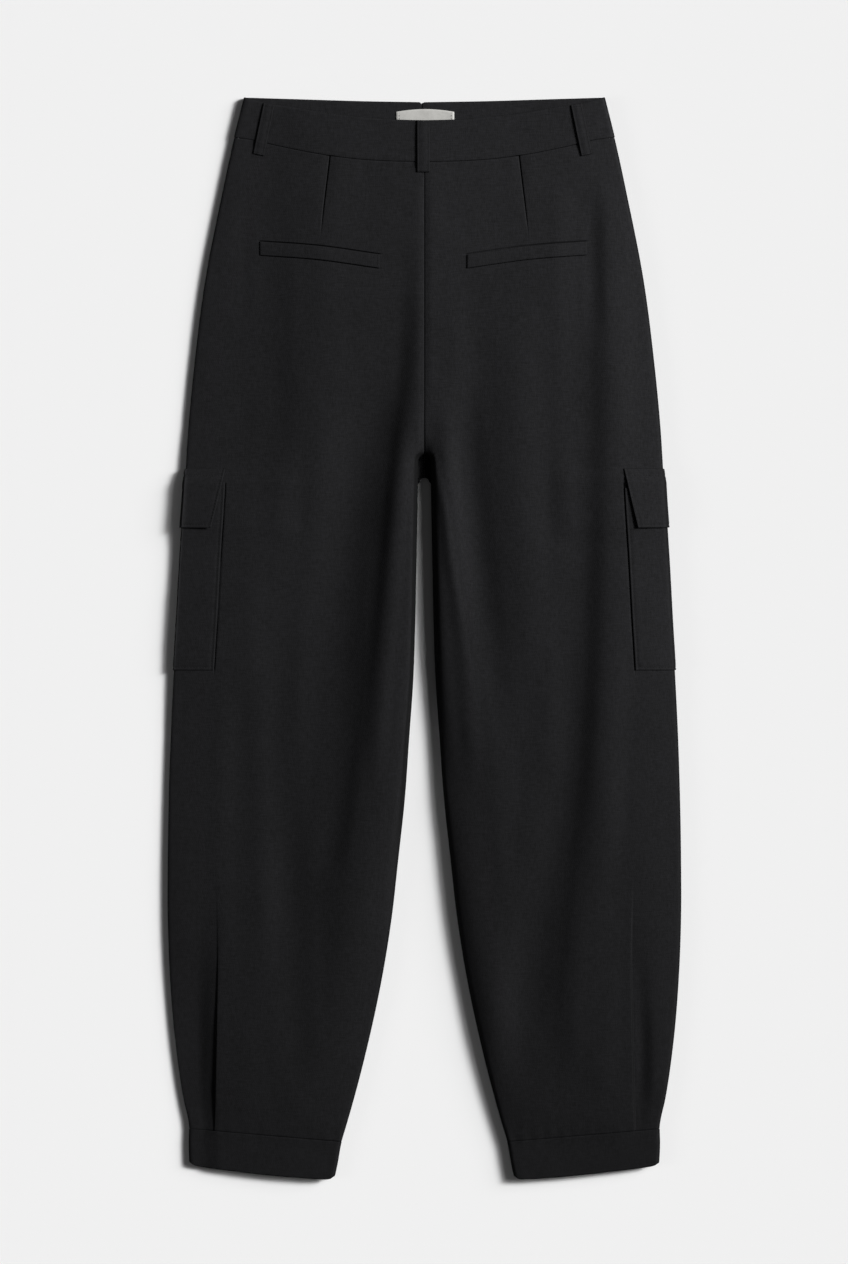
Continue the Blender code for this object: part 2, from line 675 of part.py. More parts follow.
def belt_loop(loop, trees, material):
    t = np.linspace(0, 1, LOOP_ROWS)[:, None]
    across = np.array([-0.5, 0.0, 0.5]) * loop.width
    x = loop.top_x + (loop.end_x - loop.top_x) * t + across
    top_down = edge_line(BACK_WAIST, np.abs(loop.top_x + across)) + LOOP_INSET
    slant = (loop.end_x - loop.top_x) / (loop.end_down - top_down[1])
    down = top_down + (loop.end_down - slant * across - top_down) * t
    stand = LOOP_STAND * np.sin(np.pi * t) ** LOOP_STAND_POWER
    return laid_strip(loop.name, trees, x, down, LOOP_CLOTH, stand, material)


def welt(side, name, trees, material):
    ends = sorted([WELT_INNER, WELT_MIDDLE, WELT_OUTER])
    out = np.linspace(WELT_INNER.out, WELT_OUTER.out, WELT_COLUMNS)[None, :]
    top = edge_line(ends, out)
    down = top + WELT_HEIGHT * np.array([0.0, 0.5, 1.0])[:, None]
    x = side * (out + WELT_SIDE_SHIFT[side]) + np.zeros_like(down)
    return laid_strip(f"welt_{name}", trees, x, down, CLOTH, 0.0, material)


def label(material):
    across = np.linspace(-1, 1, LABEL_COLUMNS)[None, :]
    rows = np.array([0.0, 1.0])[:, None]
    x = LABEL_CENTRE + across * LABEL_WIDTH / 2 + 0 * rows
    down = LABEL_DOWN - LABEL_BOW * (1 - across**2) * (1 - rows) + LABEL_HEIGHT * rows
    inner_face = BAND_CLOTH + SEAM_GAP
    under = place(1, x, down, np.full_like(x, inner_face))
    over = place(1, x, down, np.full_like(x, inner_face + LABEL_CLOTH))
    return solid("label", over, under, material)


def main():
    for old in list(bpy.data.objects):
        bpy.data.objects.remove(old)
    cloth = cloth_material("charcoal_twill", (0.0137, 0.0137, 0.0142), 0.85)
    woven_label = cloth_material("pale_woven_label", (0.60, 0.60, 0.59), 0.7)
    pieces = [back_waistband(cloth), label(woven_label)]
    for side, name in SIDES:
        back = back_sheet(side)
        front = front_sheet(side)
        pieces += [
            leg_panel(f"back_{name}_panel", back, cloth),
            leg_panel(f"front_{name}_panel", front, cloth),
            front_waistband(side, name, cloth),
            cargo_pocket(name, back, front, cloth),
            cargo_flap(name, back, front, cloth),
            hem_cuff(side, name, cloth),
        ]
    carriers = ("back_waistband", "back_left_panel", "back_right_panel")
    trees = [tree_of(made) for made in pieces if made.name in carriers]
    pieces += [welt(side, name, trees, cloth) for side, name in SIDES]
    pieces += [belt_loop(loop, trees, cloth) for loop in LOOPS]
    trousers = bpy.data.objects.new("trousers", None)
    bpy.context.scene.collection.objects.link(trousers)
    for piece in pieces:
        piece.parent = trousers


main()
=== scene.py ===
"""Barrel leg trousers laid flat with the back up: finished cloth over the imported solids.

Sizes are millimetres until a mesh is made. x runs across the garment, y towards the waist and z up from
the surface it lies on. "down" is the distance below the two upper corners of the waistband, and "out"
the distance from the centre line, as in the part's own source. Each cloth is a thin shell on its
solid's form, with finer folds, seams, edges and stitches.
"""

from collections import namedtuple

import bpy
import numpy as np
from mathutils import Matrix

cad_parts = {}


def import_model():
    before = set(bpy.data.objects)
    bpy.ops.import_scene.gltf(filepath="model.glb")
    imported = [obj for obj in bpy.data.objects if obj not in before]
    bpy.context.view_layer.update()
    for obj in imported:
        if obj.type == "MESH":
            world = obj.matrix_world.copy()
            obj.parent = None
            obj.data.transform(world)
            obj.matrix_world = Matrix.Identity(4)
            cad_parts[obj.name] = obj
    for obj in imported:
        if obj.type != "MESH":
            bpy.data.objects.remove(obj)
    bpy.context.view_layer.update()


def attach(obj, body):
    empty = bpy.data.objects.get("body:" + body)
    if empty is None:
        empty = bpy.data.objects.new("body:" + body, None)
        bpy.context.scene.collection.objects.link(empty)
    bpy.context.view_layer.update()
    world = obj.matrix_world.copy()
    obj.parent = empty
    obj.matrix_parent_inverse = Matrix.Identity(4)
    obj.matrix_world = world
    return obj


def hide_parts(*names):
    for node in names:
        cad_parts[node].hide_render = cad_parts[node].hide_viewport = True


MM = 0.001
LEFT, RIGHT, BOTH = -1, 1, 0
SIDES = ((LEFT, "left"), (RIGHT, "right"))

# Driving dimensions, which repeat the part's
LENGTH = 1083.0  # waist corners to the lowest point of the hems
CLOTH = 1.2
BAND_CLOTH = 2.0
CUFF_CLOTH = 1.8
LABEL_CLOTH = 0.8
PATCH_CLOTH = 0.75  # of the finished pockets, flaps and welts, which are pressed thinner than their solids
SEAM_GAP = 0.3
SEAM_HEIGHT = 5.0  # of the side seams and inseams above the surface
BOTTOM_RADIUS = 5.0
TOP_RADIUS = 4.0
SIDE_SLOPE = 70.0
INSEAM_SLOPE = 55.0
FOLD_MARGIN = 14.0
CROTCH = 358.5
CROTCH_RADIUS = 6.0
SLOT = CROTCH + CROTCH_RADIUS

Station = namedtuple("Station", "down half_width half_gap crown")
OUTLINE = [
    Station(0.0, 180.5, 6.0, 11.0),
    Station(38.5, 190.1, 6.0, 11.5),
    Station(102.5, 204.0, 6.0, 14.0),
    Station(182.5, 219.6, 6.0, 16.0),
    Station(262.5, 230.0, 6.0, 17.0),
    Station(342.5, 237.4, 6.0, 17.0),
    Station(364.5, 238.7, 6.0, 17.0),
    Station(402.5, 240.6, 6.5, 17.0),
    Station(462.5, 244.5, 7.6, 17.0),
    Station(522.5, 247.8, 8.8, 17.0),
    Station(582.5, 251.4, 10.8, 17.0),
    Station(642.5, 254.3, 15.0, 17.0),
    Station(702.5, 256.2, 19.3, 17.0),
    Station(762.5, 257.2, 25.8, 16.5),
    Station(822.5, 257.2, 32.6, 16.0),
    Station(882.5, 254.9, 42.3, 15.0),
    Station(942.5, 250.0, 55.0, 14.0),
    Station(1002.5, 241.5, 70.2, 12.5),
    Station(1030.5, 235.8, 78.2, 11.5),
    Station(1048.0, 236.0, 83.3, 10.0),
    Station(1066.5, 235.2, 86.6, 10.0),
    Station(1083.0, 234.4, 90.0, 10.0),
]

# Seams and edges across the garment, as a drop below the waist corners at a distance out
Edge = namedtuple("Edge", "out down")
BACK_WAIST = [
    Edge(0.0, 23.5),
    Edge(30.0, 22.7),
    Edge(60.0, 20.4),
    Edge(90.0, 17.2),
    Edge(140.0, 8.9),
    Edge(160.0, 5.8),
    Edge(180.5, 0.0),
]
BACK_BAND_SEAM = [
    Edge(0.0, 65.0),
    Edge(35.0, 64.3),
    Edge(70.0, 62.0),
    Edge(100.0, 58.0),
    Edge(150.0, 48.0),
    Edge(172.0, 42.8),
    Edge(190.0, 40.4),
]
FRONT_WAIST = [
    Edge(0.0, 4.6),
    Edge(60.0, 3.6),
    Edge(130.0, 1.5),
    Edge(180.5, 0.0),
]
CUFF_SEAM = [
    Edge(82.5, 1045.5),
    Edge(235.8, 1032.5),
]
HEM = [
    Edge(89.0, 1079.8),
    Edge(93.0, 1082.3),
    Edge(103.0, 1083.0),
    Edge(125.0, 1081.7),
    Edge(155.0, 1079.2),
    Edge(189.0, 1075.3),
    Edge(221.0, 1071.2),
    Edge(230.0, 1069.5),
    Edge(235.5, 1066.8),
]
FRONT_BAND_HEIGHT = 40.4
BAND_PROUD = 0.4
CLOSURE_X = -2.5
NOTCH_DEPTH = 2.5
NOTCH_HALF_WIDTH = 2.8

# Soft folds: each runs through its points down the leg, with its height and its reach to each side
Fold = namedtuple("Fold", "side down out height inner_reach outer_reach")
FOLDS = [
    Fold(BOTH, (40, 180, 346), (0, 0, 0), -0.8, 7, 7),  # centre back seam
    Fold(BOTH, (300, 470, 700), (16, 31, 52), 1.6, 14, 16),  # ridge beside the inseam
    Fold(BOTH, (270, 470, 800), (34, 54, 98), -2.4, 20, 24),  # trough beyond it
    Fold(BOTH, (60, 420, 1010), (158, 158, 128), -2.6, 30, 26),  # long outer trough
    Fold(RIGHT, (80, 170, 260), (170, 170, 172), -1.2, 14, 14),  # below the side belt loop
    Fold(LEFT, (80, 170, 260), (181, 181, 182), -1.2, 14, 14),
    Fold(BOTH, (640, 800, 1030), (185, 182, 176), 1.0, 26, 22),  # barrel of the lower leg
]
FOLD_FADE = 70.0  # over which a fold dies away at its ends

# Creases that only the finished cloth has: down, out and height change from point to point along each
Crease = namedtuple("Crease", "side inner_reach outer_reach down out height")
CREASES = [
    # roll beside the gap between the legs, which is thickest just below the crotch
    Crease(
        LEFT, 8, 44,
        (300, 352, 403, 462, 522, 582, 642, 702, 762, 850),
        (6, 7, 9, 10, 12, 15, 21, 27, 35, 46),
        (0, 3.4, 5.6, 6.0, 5.8, 5.2, 4.3, 3.2, 1.7, 0),
    ),
    # its lower side falls on beyond the solid's trough
    Crease(
        LEFT, 26, 44,
        (290, 345, 403, 503, 603, 703, 775),
        (58, 64, 69, 80, 93, 107, 116),
        (0, -2.8, -3.4, -2.8, -2.6, -2.0, 0),
    ),
    Crease(
        RIGHT, 12, 26,
        (335, 366, 410, 460, 520, 600, 690),
        (9, 11, 13, 15, 17, 22, 31),
        (0, 3.6, 4.3, 4.3, 3.9, 2.6, 0),
    ),
    # hollow beyond it on the left leg, and its lower end
    Crease(
        LEFT, 52, 84,
        (230, 300, 350, 400, 452, 502, 552, 602, 652, 702, 760, 840, 960),
        (56, 62, 68, 76, 82, 88, 92, 96, 99, 101, 104, 108, 112),
        (0, -2.6, -4.8, -6.4, -7.0, -7.0, -6.6, -5.6, -4.4, -3.4, -2.4, -1.2, 0),
    ),
    Crease(
        LEFT, 46, 54,
        (720, 800, 860, 920, 1010),
        (112, 120, 124, 124, 120),
        (0, -2.2, -1.9, -1.1, 0),
    ),
    Crease(
        LEFT, 23, 110,
        (140, 202, 252, 302, 352, 400),
        (24, 25, 27, 30, 33, 36),
        (0, -2.2, -4.0, -4.0, -1.6, 0),
    ),
    Crease(
        LEFT, 40, 24,
        (800, 850, 900, 960, 1020),
        (136, 136, 136, 134, 130),
        (0, 1.4, 1.9, 1.6, 0),
    ),
    # the left leg's outer side
    Crease(
        LEFT, 26, 26,
        (70, 120, 180, 260, 330, 400, 520),
        (150, 155, 158, 160, 160, 158, 156),
        (0, 0.9, 0.5, 0.9, 1.3, 0.6, 0),
    ),
    Crease(
        LEFT, 62, 62,
        (220, 330, 480, 620, 740, 830),
        (140, 144, 148, 148, 146, 144),
        (0, -1.4, -2.2, -2.2, -1.4, 0),
    ),
    Crease(
        LEFT, 28, 24,
        (560, 640, 760, 880, 980, 1030),
        (182, 184, 184, 180, 178, 176),
        (0, -1.6, -1.5, -1.0, -0.8, 0),
    ),
    # deep fold beside the right hem tuck
    Crease(
        RIGHT, 10, 12,
        (850, 895, 940, 985, 1030),
        (214, 216, 218, 218, 216),
        (0, -1.0, -1.8, -1.6, 0),
    ),
    # the right leg: a sharp pull from the crotch, the hollow beyond it and its far side
    Crease(
        RIGHT, 11, 5,
        (340, 372, 410, 462, 502, 552, 620),
        (7, 12, 20, 27, 34, 41, 50),
        (0, 1.0, 1.2, 1.1, 1.0, 0.7, 0),
    ),
    Crease(
        RIGHT, 24, 26,
        (150, 200, 300, 350, 400, 470, 560),
        (40, 46, 52, 54, 56, 60, 66),
        (0, -0.8, -1.6, -2.0, -2.0, -1.6, 0),
    ),
    Crease(
        RIGHT, 30, 34,
        (200, 300, 400, 500, 560, 600, 650, 760, 900, 1000),
        (92, 96, 98, 102, 104, 104, 104, 102, 96, 90),
        (0, 1.8, 2.3, 1.8, 1.0, -0.5, -1.5, -0.8, -2.2, 0),
    ),
    # low roll along the right leg's inseam
    Crease(
        RIGHT, 22, 34,
        (640, 702, 752, 802, 852, 902, 952, 1030),
        (22, 28, 36, 45, 53, 63, 72, 84),
        (0, 1.2, 1.9, 2.3, 2.3, 2.2, 1.8, 0),
    ),
    # and its long outer trough with the ridge that shades it
    Crease(
        RIGHT, 30, 26,
        (100, 200, 300, 400, 500, 600, 700, 800, 900, 1020),
        (160, 160, 160, 158, 152, 150, 147, 142, 136, 126),
        (0, 0.7, 1.2, 0.4, -0.3, 0.0, 1.4, 2.2, 1.9, 0),
    ),
    Crease(
        RIGHT, 34, 30,
        (560, 640, 720, 800, 900, 1010),
        (148, 142, 134, 123, 112, 104),
        (0, -1.4, -2.6, -2.6, -2.4, 0),
    ),
    Crease(
        RIGHT, 26, 30,
        (100, 200, 300, 400, 500, 600, 700, 800, 900, 1000),
        (186, 188, 190, 190, 186, 182, 175, 163, 152, 144),
        (0, 1.2, 2.3, 1.4, 1.6, 2.4, 2.2, 1.9, 1.4, 0),
    ),
    # the solid's inner trough runs out earlier
    Crease(
        RIGHT, 20, 24,
        (520, 590, 650, 720, 790),
        (59, 68, 76, 87, 97),
        (0, 1.2, 2.1, 2.0, 0),
    ),
]

# Knife tuck that takes the leg's fullness into the cuff
Tuck = namedtuple("Tuck", "down out depth")
TUCK = [
    Tuck(40.0, 150.0, 0.0),
    Tuck(200.0, 178.0, 0.0),
    Tuck(390.0, 199.5, 0.0),
    Tuck(575.0, 210.3, 0.0),
    Tuck(700.0, 210.5, 0.0),
    Tuck(780.0, 208.5, 0.0),
    Tuck(850.0, 207.0, 0.9),
    Tuck(930.0, 208.2, 2.6),
    Tuck(995.0, 209.6, 3.4),
    Tuck(1034.0, 210.5, 0.9),
]
TUCK_SOFT_HALF_STEP = 1.5  # as wide as in the solid, on the hidden inner face
TUCK_HALF_STEP = 0.7  # crisp, on the face that shows
TUCK_RECOVERY = 30.0

# Waist dart of each back panel
DART_TOP_OUT = 94.5
DART_END_OUT = 104.0
DART_LENGTH = 82.0
DART_DEPTH = 0.7
DART_REACH = 8.0
DART_GROOVE = 0.95  # where it is sewn
DART_GROOVE_REACH = 0.9
DART_LINE = [
    Edge(94.5, 58.0),
    Edge(104.0, 141.0),
    Edge(112.0, 300.0),
    Edge(120.0, 600.0),
    Edge(152.0, 1040.0),
]

# Cargo pocket and flap, as distances from the side seam round the leg
POCKET_TOP = 391.5
POCKET_END = 573.5
POCKET_BACK_WIDTH = 40.0
POCKET_FRONT_WIDTH = 88.0
FLAP_TOP = 372.0
FLAP_OVER_POCKET = 386.0
FLAP_END = 431.0
FLAP_STAND = 2.2
FLAP_SIDE_SHARE = 0.2
FLAP_SKEW = 0.26
FLAP_TOPSTITCH = 7.0  # below the flap's upper edge
FLAP_EDGE_STITCH = 2.6
POCKET_EDGE_STITCH = 2.6
POCKET_GROOVE = 1.0
POCKET_GROOVE_OFFSET = 0.5  # beyond the pocket's edge
POCKET_GROOVE_REACH = 1.0
POCKET_SLACK = 0.18
POCKET_SLACK_MARGIN = 6.0
POCKET_WAVE_DOWN = 17.0
POCKET_WAVE_ACROSS = 11.0

Lift = namedtuple("Lift", "down height")
PATCH = CLOTH + SEAM_GAP
LIFTS = [
    Lift(328.0, 0.0),
    Lift(FLAP_TOP, PATCH),
    Lift(FLAP_OVER_POCKET, 2 * PATCH),
    Lift(FLAP_END, 2 * PATCH),
    Lift(446.0, PATCH),
    Lift(POCKET_END, PATCH),
    Lift(640.0, 0.0),
]
LIFT_HOLD = POCKET_FRONT_WIDTH + 4.0
LIFT_RUN_OUT = 28.0

Loop = namedtuple("Loop", "name top_x end_x end_down width")
LOOPS = [
    Loop("belt_loop_centre", -1.2, -1.0, 75.5, 12.7),
    Loop("belt_loop_left", -155.5, -166.0, 57.8, 11.0),
    Loop("belt_loop_right", 151.8, 162.4, 58.3, 11.0),
]
LOOP_CLOTH = 1.0
LOOP_ROWS = 60.0  # length for which a loop's rows are spaced, whatever its own is
LOOP_INSET = 0.4
LOOP_SLACK = 0.5
LOOP_STEP_DOWN = 8.0
LOOP_BULGE = 0.12
LOOP_EDGE_STITCH = 1.9
LOOP_TACK = 2.6  # from either end

WELT = [Edge(44.3, 158.1), Edge(107.0, 149.3), Edge(164.0, 144.7)]
WELT_HEIGHT = 13.6
WELT_SIDE_SHIFT = {LEFT: -0.5, RIGHT: -1.5}
WELT_GROOVE = 1.15
WELT_LOWER_GROOVE = 0.6
WELT_GROOVE_OFFSET = 0.45  # beyond the welt's edge
WELT_GROOVE_REACH = 0.9
WELT_BULGE = 0.25
WELT_TACK = 1.8  # from either end

LABEL_WIDTH = 58.0
LABEL_HEIGHT = 24.0
LABEL_DOWN = 14.4
LABEL_BOW = 2.7
LABEL_CENTRE = 0.85
LABEL_STITCH = 3.2
LABEL_WAVE = 0.1
LABEL_WAVES = 7.0

CUFF_HEIGHT = 36.0
CUFF_MIDDLE_ROWS = np.linspace(0.17, 0.9, 12)
CUFF_JOIN_OUT = 211.5  # the cuff's own upright seam, in line with the tuck
CUFF_JOIN_DEPTH = {LEFT: 0.36, RIGHT: 0.2}
CUFF_JOIN_REACH = 1.4
CUFF_JOIN_FADE = 12.0

# How far, and over what width, the cloth rolls down into a seam or a folded edge
Roll = namedtuple("Roll", "depth width")
SEAM_ROLL = Roll(0.75, 1.7)
SIDE_ROLL = Roll(0.5, 0.35)  # in plan, where the cloth stands nearly upright
BAND_TOP_ROLL = Roll(0.9, 1.4)
BAND_SEAM_ROLL = Roll(0.5, 1.2)
CUFF_TOP_ROLL = Roll(0.6, 1.4)
HEM_ROLL = Roll(1.0, 1.6)
DEEPEST_ROLL = 0.9  # where two seams meet
EDGE_ROLL_WIDTH = 0.8  # of a pocket, flap, welt, loop or label
EDGE_LEFT = 0.4  # share of the cloth that is left at the very edge
SLACK_MARGIN = 5.0  # creases run out this near to an inseam

# Small waves that a seam draws up beside it
Pucker = namedtuple("Pucker", "spacing height reach phase")
BAND_SEAM_PUCKER = Pucker(19.0, 0.10, 12.0, 1.0)
CUFF_SEAM_PUCKER = Pucker(15.0, 0.22, 16.0, 2.0)
CENTRE_SEAM_PUCKER = Pucker(23.0, 0.08, 8.0, 0.5)
WAIST_PUCKER = Pucker(33.0, 0.08, 14.0, 2.0)
HEM_PUCKERS = {LEFT: Pucker(27.0, 0.12, 12.0, 1.0), RIGHT: Pucker(27.0, 0.12, 12.0, 3.0)}

# How flat the left leg's outer side lies: its low part's width from the side seam, the width over which
# it rises from there, and how much of its height above the seam is pressed out
Flank = namedtuple("Flank", "down low rise share")
WIDE_FLANK = [
    Flank(0.0, 14.0, 50.0, 0.3),
    Flank(60.0, 20.0, 80.0, 0.48),
    Flank(300.0, 30.0, 130.0, 0.68),
    Flank(500.0, 34.0, 160.0, 0.74),
    Flank(700.0, 36.0, 160.0, 0.74),
    Flank(800.0, 36.0, 160.0, 0.55),
    Flank(880.0, 34.0, 160.0, 0.25),
    Flank(950.0, 30.0, 150.0, 0.0),
]
TUCK_FLANK = [
    Flank(770.0, 36.0, 30.0, 0.0),
    Flank(840.0, 30.0, 28.0, 0.35),
    Flank(900.0, 26.0, 22.0, 0.76),
    Flank(940.0, 23.0, 21.0, 0.9),
    Flank(1002.0, 16.0, 19.0, 0.9),
    Flank(1034.0, 12.0, 20.0, 0.55),
    Flank(1083.0, 12.0, 20.0, 0.5),
]
PRESS = 0.17  # and how much thinner the whole side then lies, within a reach that fades out
PRESS_LOW = 26.0
PRESS_RISE = 100.0
FLANK_EDGE = 3.0  # nearer than this the round edge is squeezed, and beyond it the cloth keeps its thickness
FLANK_EDGE_BLEND = 8.0

# Slow unevenness of cloth that was pressed and laid down: wave length, direction, height and phase
Ripple = namedtuple("Ripple", "length turn height phase")
RIPPLES = [
    Ripple(173.0, 0.35, 0.16, 0.4),
    Ripple(121.0, 1.05, 0.13, 2.1),
    Ripple(88.0, -0.30, 0.10, 4.0),
    Ripple(67.0, 1.85, 0.07, 1.2),
    Ripple(47.0, 0.10, 0.05, 5.3),
    Ripple(35.0, -0.75, 0.035, 3.3),
    Ripple(26.0, 1.30, 0.025, 0.9),
]


# ---------------------------------------------------------------- form, as in the part's source


def named_column(table, name):
    return np.array([getattr(row, name) for row in table], float)


def straight(down, table, name):
    """A table's column at a drop, on straight lines from row to row."""
    return np.interp(down, named_column(table, "down"), named_column(table, name))


def smooth(place, places, values):
    """The cubic curve through a table's values that leaves each with its neighbours' slope."""
    slopes = np.gradient(values, places)
    place = np.clip(place, places[0], places[-1])
    low = np.clip(np.searchsorted(places, place) - 1, 0, len(places) - 2)
    span = places[low + 1] - places[low]
    t = (place - places[low]) / span
    start = (1 + 2 * t) * (1 - t) ** 2 * values[low] + t**2 * (3 - 2 * t) * values[low + 1]
    return start + span * (t * (1 - t) ** 2 * slopes[low] - t**2 * (1 - t) * slopes[low + 1])


def curved(place, table, along, name):
    """A table's column at a place along another of its columns, on a smooth curve."""
    return smooth(place, named_column(table, along), named_column(table, name))


def soft_step(t):
    t = np.clip(t, 0, 1)
    return t * t * (3 - 2 * t)


def quarter_round(t):
    return np.sqrt(1 - (1 - np.clip(t, 0, 1)) ** 2)


def ease_out(t):
    return 1 - (1 - np.clip(t, 0, 1)) ** 2


def outline(down, name):
    return curved(down, OUTLINE, "down", name)


def edge_line(table, out):
    return curved(out, table, "out", "down")


def dart_line(down):
    """The dart's line, and a guide for the mesh below it."""
    return curved(down, DART_LINE, "down", "out")


def tuck_line(down):
    return curved(down, TUCK, "down", "out")


def front_band_seam(out):
    return edge_line(FRONT_WAIST, out) + FRONT_BAND_HEIGHT


def back_waist(out):
    return edge_line(BACK_WAIST, out)


def back_band_seam(out):
    return edge_line(BACK_BAND_SEAM, out)


def side_edge(down):
    return outline(down, "half_width")


def half_gap(down):
    return outline(np.maximum(down, SLOT), "half_gap")


def inner_edge(down):
    """Inseam below the crotch, its round top, or the centre seam above."""
    rise = np.clip(SLOT - down, 0, CROTCH_RADIUS)
    return np.maximum(np.sqrt(half_gap(down) ** 2 - rise**2), SEAM_GAP / 2)


def from_side(out, down):
    return side_edge(down) - out


def from_inseam(out, down):
    """Distance in plan from the slot between the legs."""
    return np.hypot(out, np.maximum(SLOT - down, 0)) - half_gap(down)


def lift(out, down):
    height = straight(down, LIFTS, "height")
    return height * (1 - soft_step((from_side(out, down) - LIFT_HOLD) / LIFT_RUN_OUT))


def share_across(fold, out, down):
    """The share of a fold's or crease's height across it: 1 on its line and 0 beyond its reach."""
    centre = smooth(down, np.array(fold.down, float), np.array(fold.out, float))
    reach = np.where(out < centre, fold.inner_reach, fold.outer_reach)
    return 0.5 + 0.5 * np.cos(np.pi * np.clip((out - centre) / reach, -1, 1))


def fold_height(fold, out, down):
    start = soft_step((down - fold.down[0]) / FOLD_FADE)
    end = soft_step((fold.down[-1] - down) / FOLD_FADE)
    return fold.height * share_across(fold, out, down) * (start * end)


def tuck_height(out, down, half_step):
    depth = straight(down, TUCK, "depth")
    depth = np.where(down < edge_line(CUFF_SEAM, out), depth, 0)
    past = out - tuck_line(down)
    drop = soft_step((past + half_step) / (2 * half_step))
    return -depth * drop * (1 - np.clip(past / TUCK_RECOVERY, 0, 1)) ** 2


def notch(distance, reach):
    """1 at a line, and straight from there to 0 at a distance from it."""
    return np.clip(1 - np.abs(distance) / reach, 0, 1)


def dart_share(down):
    return (down - back_band_seam(DART_TOP_OUT)) / DART_LENGTH


def dart_height(out, down):
    share = dart_share(down)
    centre = DART_TOP_OUT + (DART_END_OUT - DART_TOP_OUT) * share
    fade = np.where((share > 0) & (share < 1), 1 - soft_step(share), 0)
    return -DART_DEPTH * notch(out - centre, DART_REACH) * fade


def back_height(side, out, down, tuck_half_step=TUCK_HALF_STEP):
    """Outer face of the back: round edges, a crown, and the folds."""
    at_side = from_side(out, down)
    at_inseam = from_inseam(out, down)
    edge = quarter_round(at_side / TOP_RADIUS) * quarter_round(at_inseam / TOP_RADIUS)
    slope = ease_out(at_side / SIDE_SLOPE) * ease_out(at_inseam / INSEAM_SLOPE)
    crown = outline(down, "crown") - SEAM_HEIGHT - TOP_RADIUS
    folds = sum(fold_height(fold, out, down) for fold in FOLDS if fold.side in (side, BOTH))
    folds = folds + tuck_height(out, down, tuck_half_step) + dart_height(out, down)
    inside = soft_step(at_side / FOLD_MARGIN) * soft_step(at_inseam / FOLD_MARGIN)
    seam = SEAM_HEIGHT + SEAM_GAP / 2
    return lift(out, down) + seam + TOP_RADIUS * edge + crown * slope + folds * inside


def soft_back_height(side, out, down):
    return back_height(side, out, down, TUCK_SOFT_HALF_STEP)


def front_height(side, out, down):
    """Outer face of the front, the same on both legs: flat but for round edges and what lies under it."""
    at_side = from_side(out, down)
    at_inseam = from_inseam(out, down)
    edge = quarter_round(at_side / BOTTOM_RADIUS) * quarter_round(at_inseam / BOTTOM_RADIUS)
    return lift(out, down) + (SEAM_HEIGHT - SEAM_GAP / 2) * (1 - edge)


def slope_of(function, out, down):
    step = 0.02
    across = (function(out + step, down) - function(out - step, down)) / (2 * step)
    along = (function(out, down + step) - function(out, down - step)) / (2 * step)
    return across, along


def unit(vectors):
    return vectors / np.linalg.norm(vectors, axis=-1, keepdims=True)


def face_normals(height, side, out, down, upward):
    """Normals that point out of the cloth: level at a side seam or inseam, upright at the centre."""
    across, along = slope_of(lambda o, d: height(side, o, d), out, down)
    normals = unit(np.stack([-across, along, np.ones_like(out)], axis=-1) * upward)
    for distance in (from_side, from_inseam):
        across, along = slope_of(distance, out, down)
        level = unit(np.stack([-across, along, np.zeros_like(out)], axis=-1))
        normals = np.where((np.abs(distance(out, down)) < 0.01)[..., None], level, normals)
    centre = (out < SEAM_GAP) & (down < CROTCH)
    normals[..., 0] = np.where(centre, 0, normals[..., 0])
    return unit(normals) * np.array([side, 1, 1])


def place(side, out, down, height):
    return np.stack([side * out, LENGTH / 2 - down, height], axis=-1)


class Face:
    """Points on a cloth's outer face, with the normals that point out of the cloth."""

    def __init__(self, points, normals, out=None, down=None):
        self.points = points
        self.normals = normals
        self.out = out
        self.down = down

    def moved(self, distance):
        distance = np.asarray(distance, float)
        return self.points + self.normals * (distance[..., None] if distance.ndim else distance)


def face_at(side, height, upward, out, down):
    points = place(side, out, down, height(side, out, down))
    return Face(points, face_normals(height, side, out, down, upward), out, down)


def face_joined(first, second):
    """Two faces as one, the second running on from the first's last column."""
    parts = zip(
        (first.points, first.normals, first.out, first.down),
        (second.points, second.normals, second.out, second.down),
    )
    return Face(*[np.concatenate(part, axis=1) for part in parts])


def face_reversed(face, skip=0):
    parts = (face.points, face.normals, face.out, face.down)
    return Face(*[part[:, ::-1][:, skip:] for part in parts])


# ---------------------------------------------------------------- meshes


def grid_faces(rows, columns, start):
    index = start + np.arange(rows * columns).reshape(rows, columns)
    corners = (index[:-1, :-1], index[:-1, 1:], index[1:, 1:], index[1:, :-1])
    return np.stack([corner.ravel() for corner in corners], axis=1)


def rim_faces(rows, columns, closed):
    """Faces that join an outer grid to the inner grid behind it, all turned the same way."""
    index = np.arange(rows * columns).reshape(rows, columns)
    edges = [index[0][::-1], index[-1]]
    if not closed:
        edges += [index[:, 0], index[:, -1][::-1]]
    inner = rows * columns
    faces = [np.stack([e[1:], e[:-1], e[:-1] + inner, e[1:] + inner], axis=1) for e in edges]
    return np.concatenate(faces)


SHARP_EDGE = np.radians(60)


def mesh_object(name, points, faces, material, sharp=False):
    mesh = bpy.data.meshes.new(name)
    mesh.from_pydata((points * MM).tolist(), [], faces.tolist())
    mesh.validate()
    mesh.materials.append(material)
    mesh.shade_smooth()
    if sharp:
        mesh.set_sharp_from_angle(angle=SHARP_EDGE)
    made = bpy.data.objects.new(name, mesh)
    bpy.context.scene.collection.objects.link(made)
    return made


def turned_out(points, faces):
    """The faces of a closed mesh, turned so that they point out of it."""
    corners = points[faces]
    volume = np.einsum("ij,ij->i", corners[:, 0], np.cross(corners[:, 1], corners[:, 2])).sum()
    volume += np.einsum("ij,ij->i", corners[:, 0], np.cross(corners[:, 2], corners[:, 3])).sum()
    return faces if volume > 0 else faces[:, ::-1]


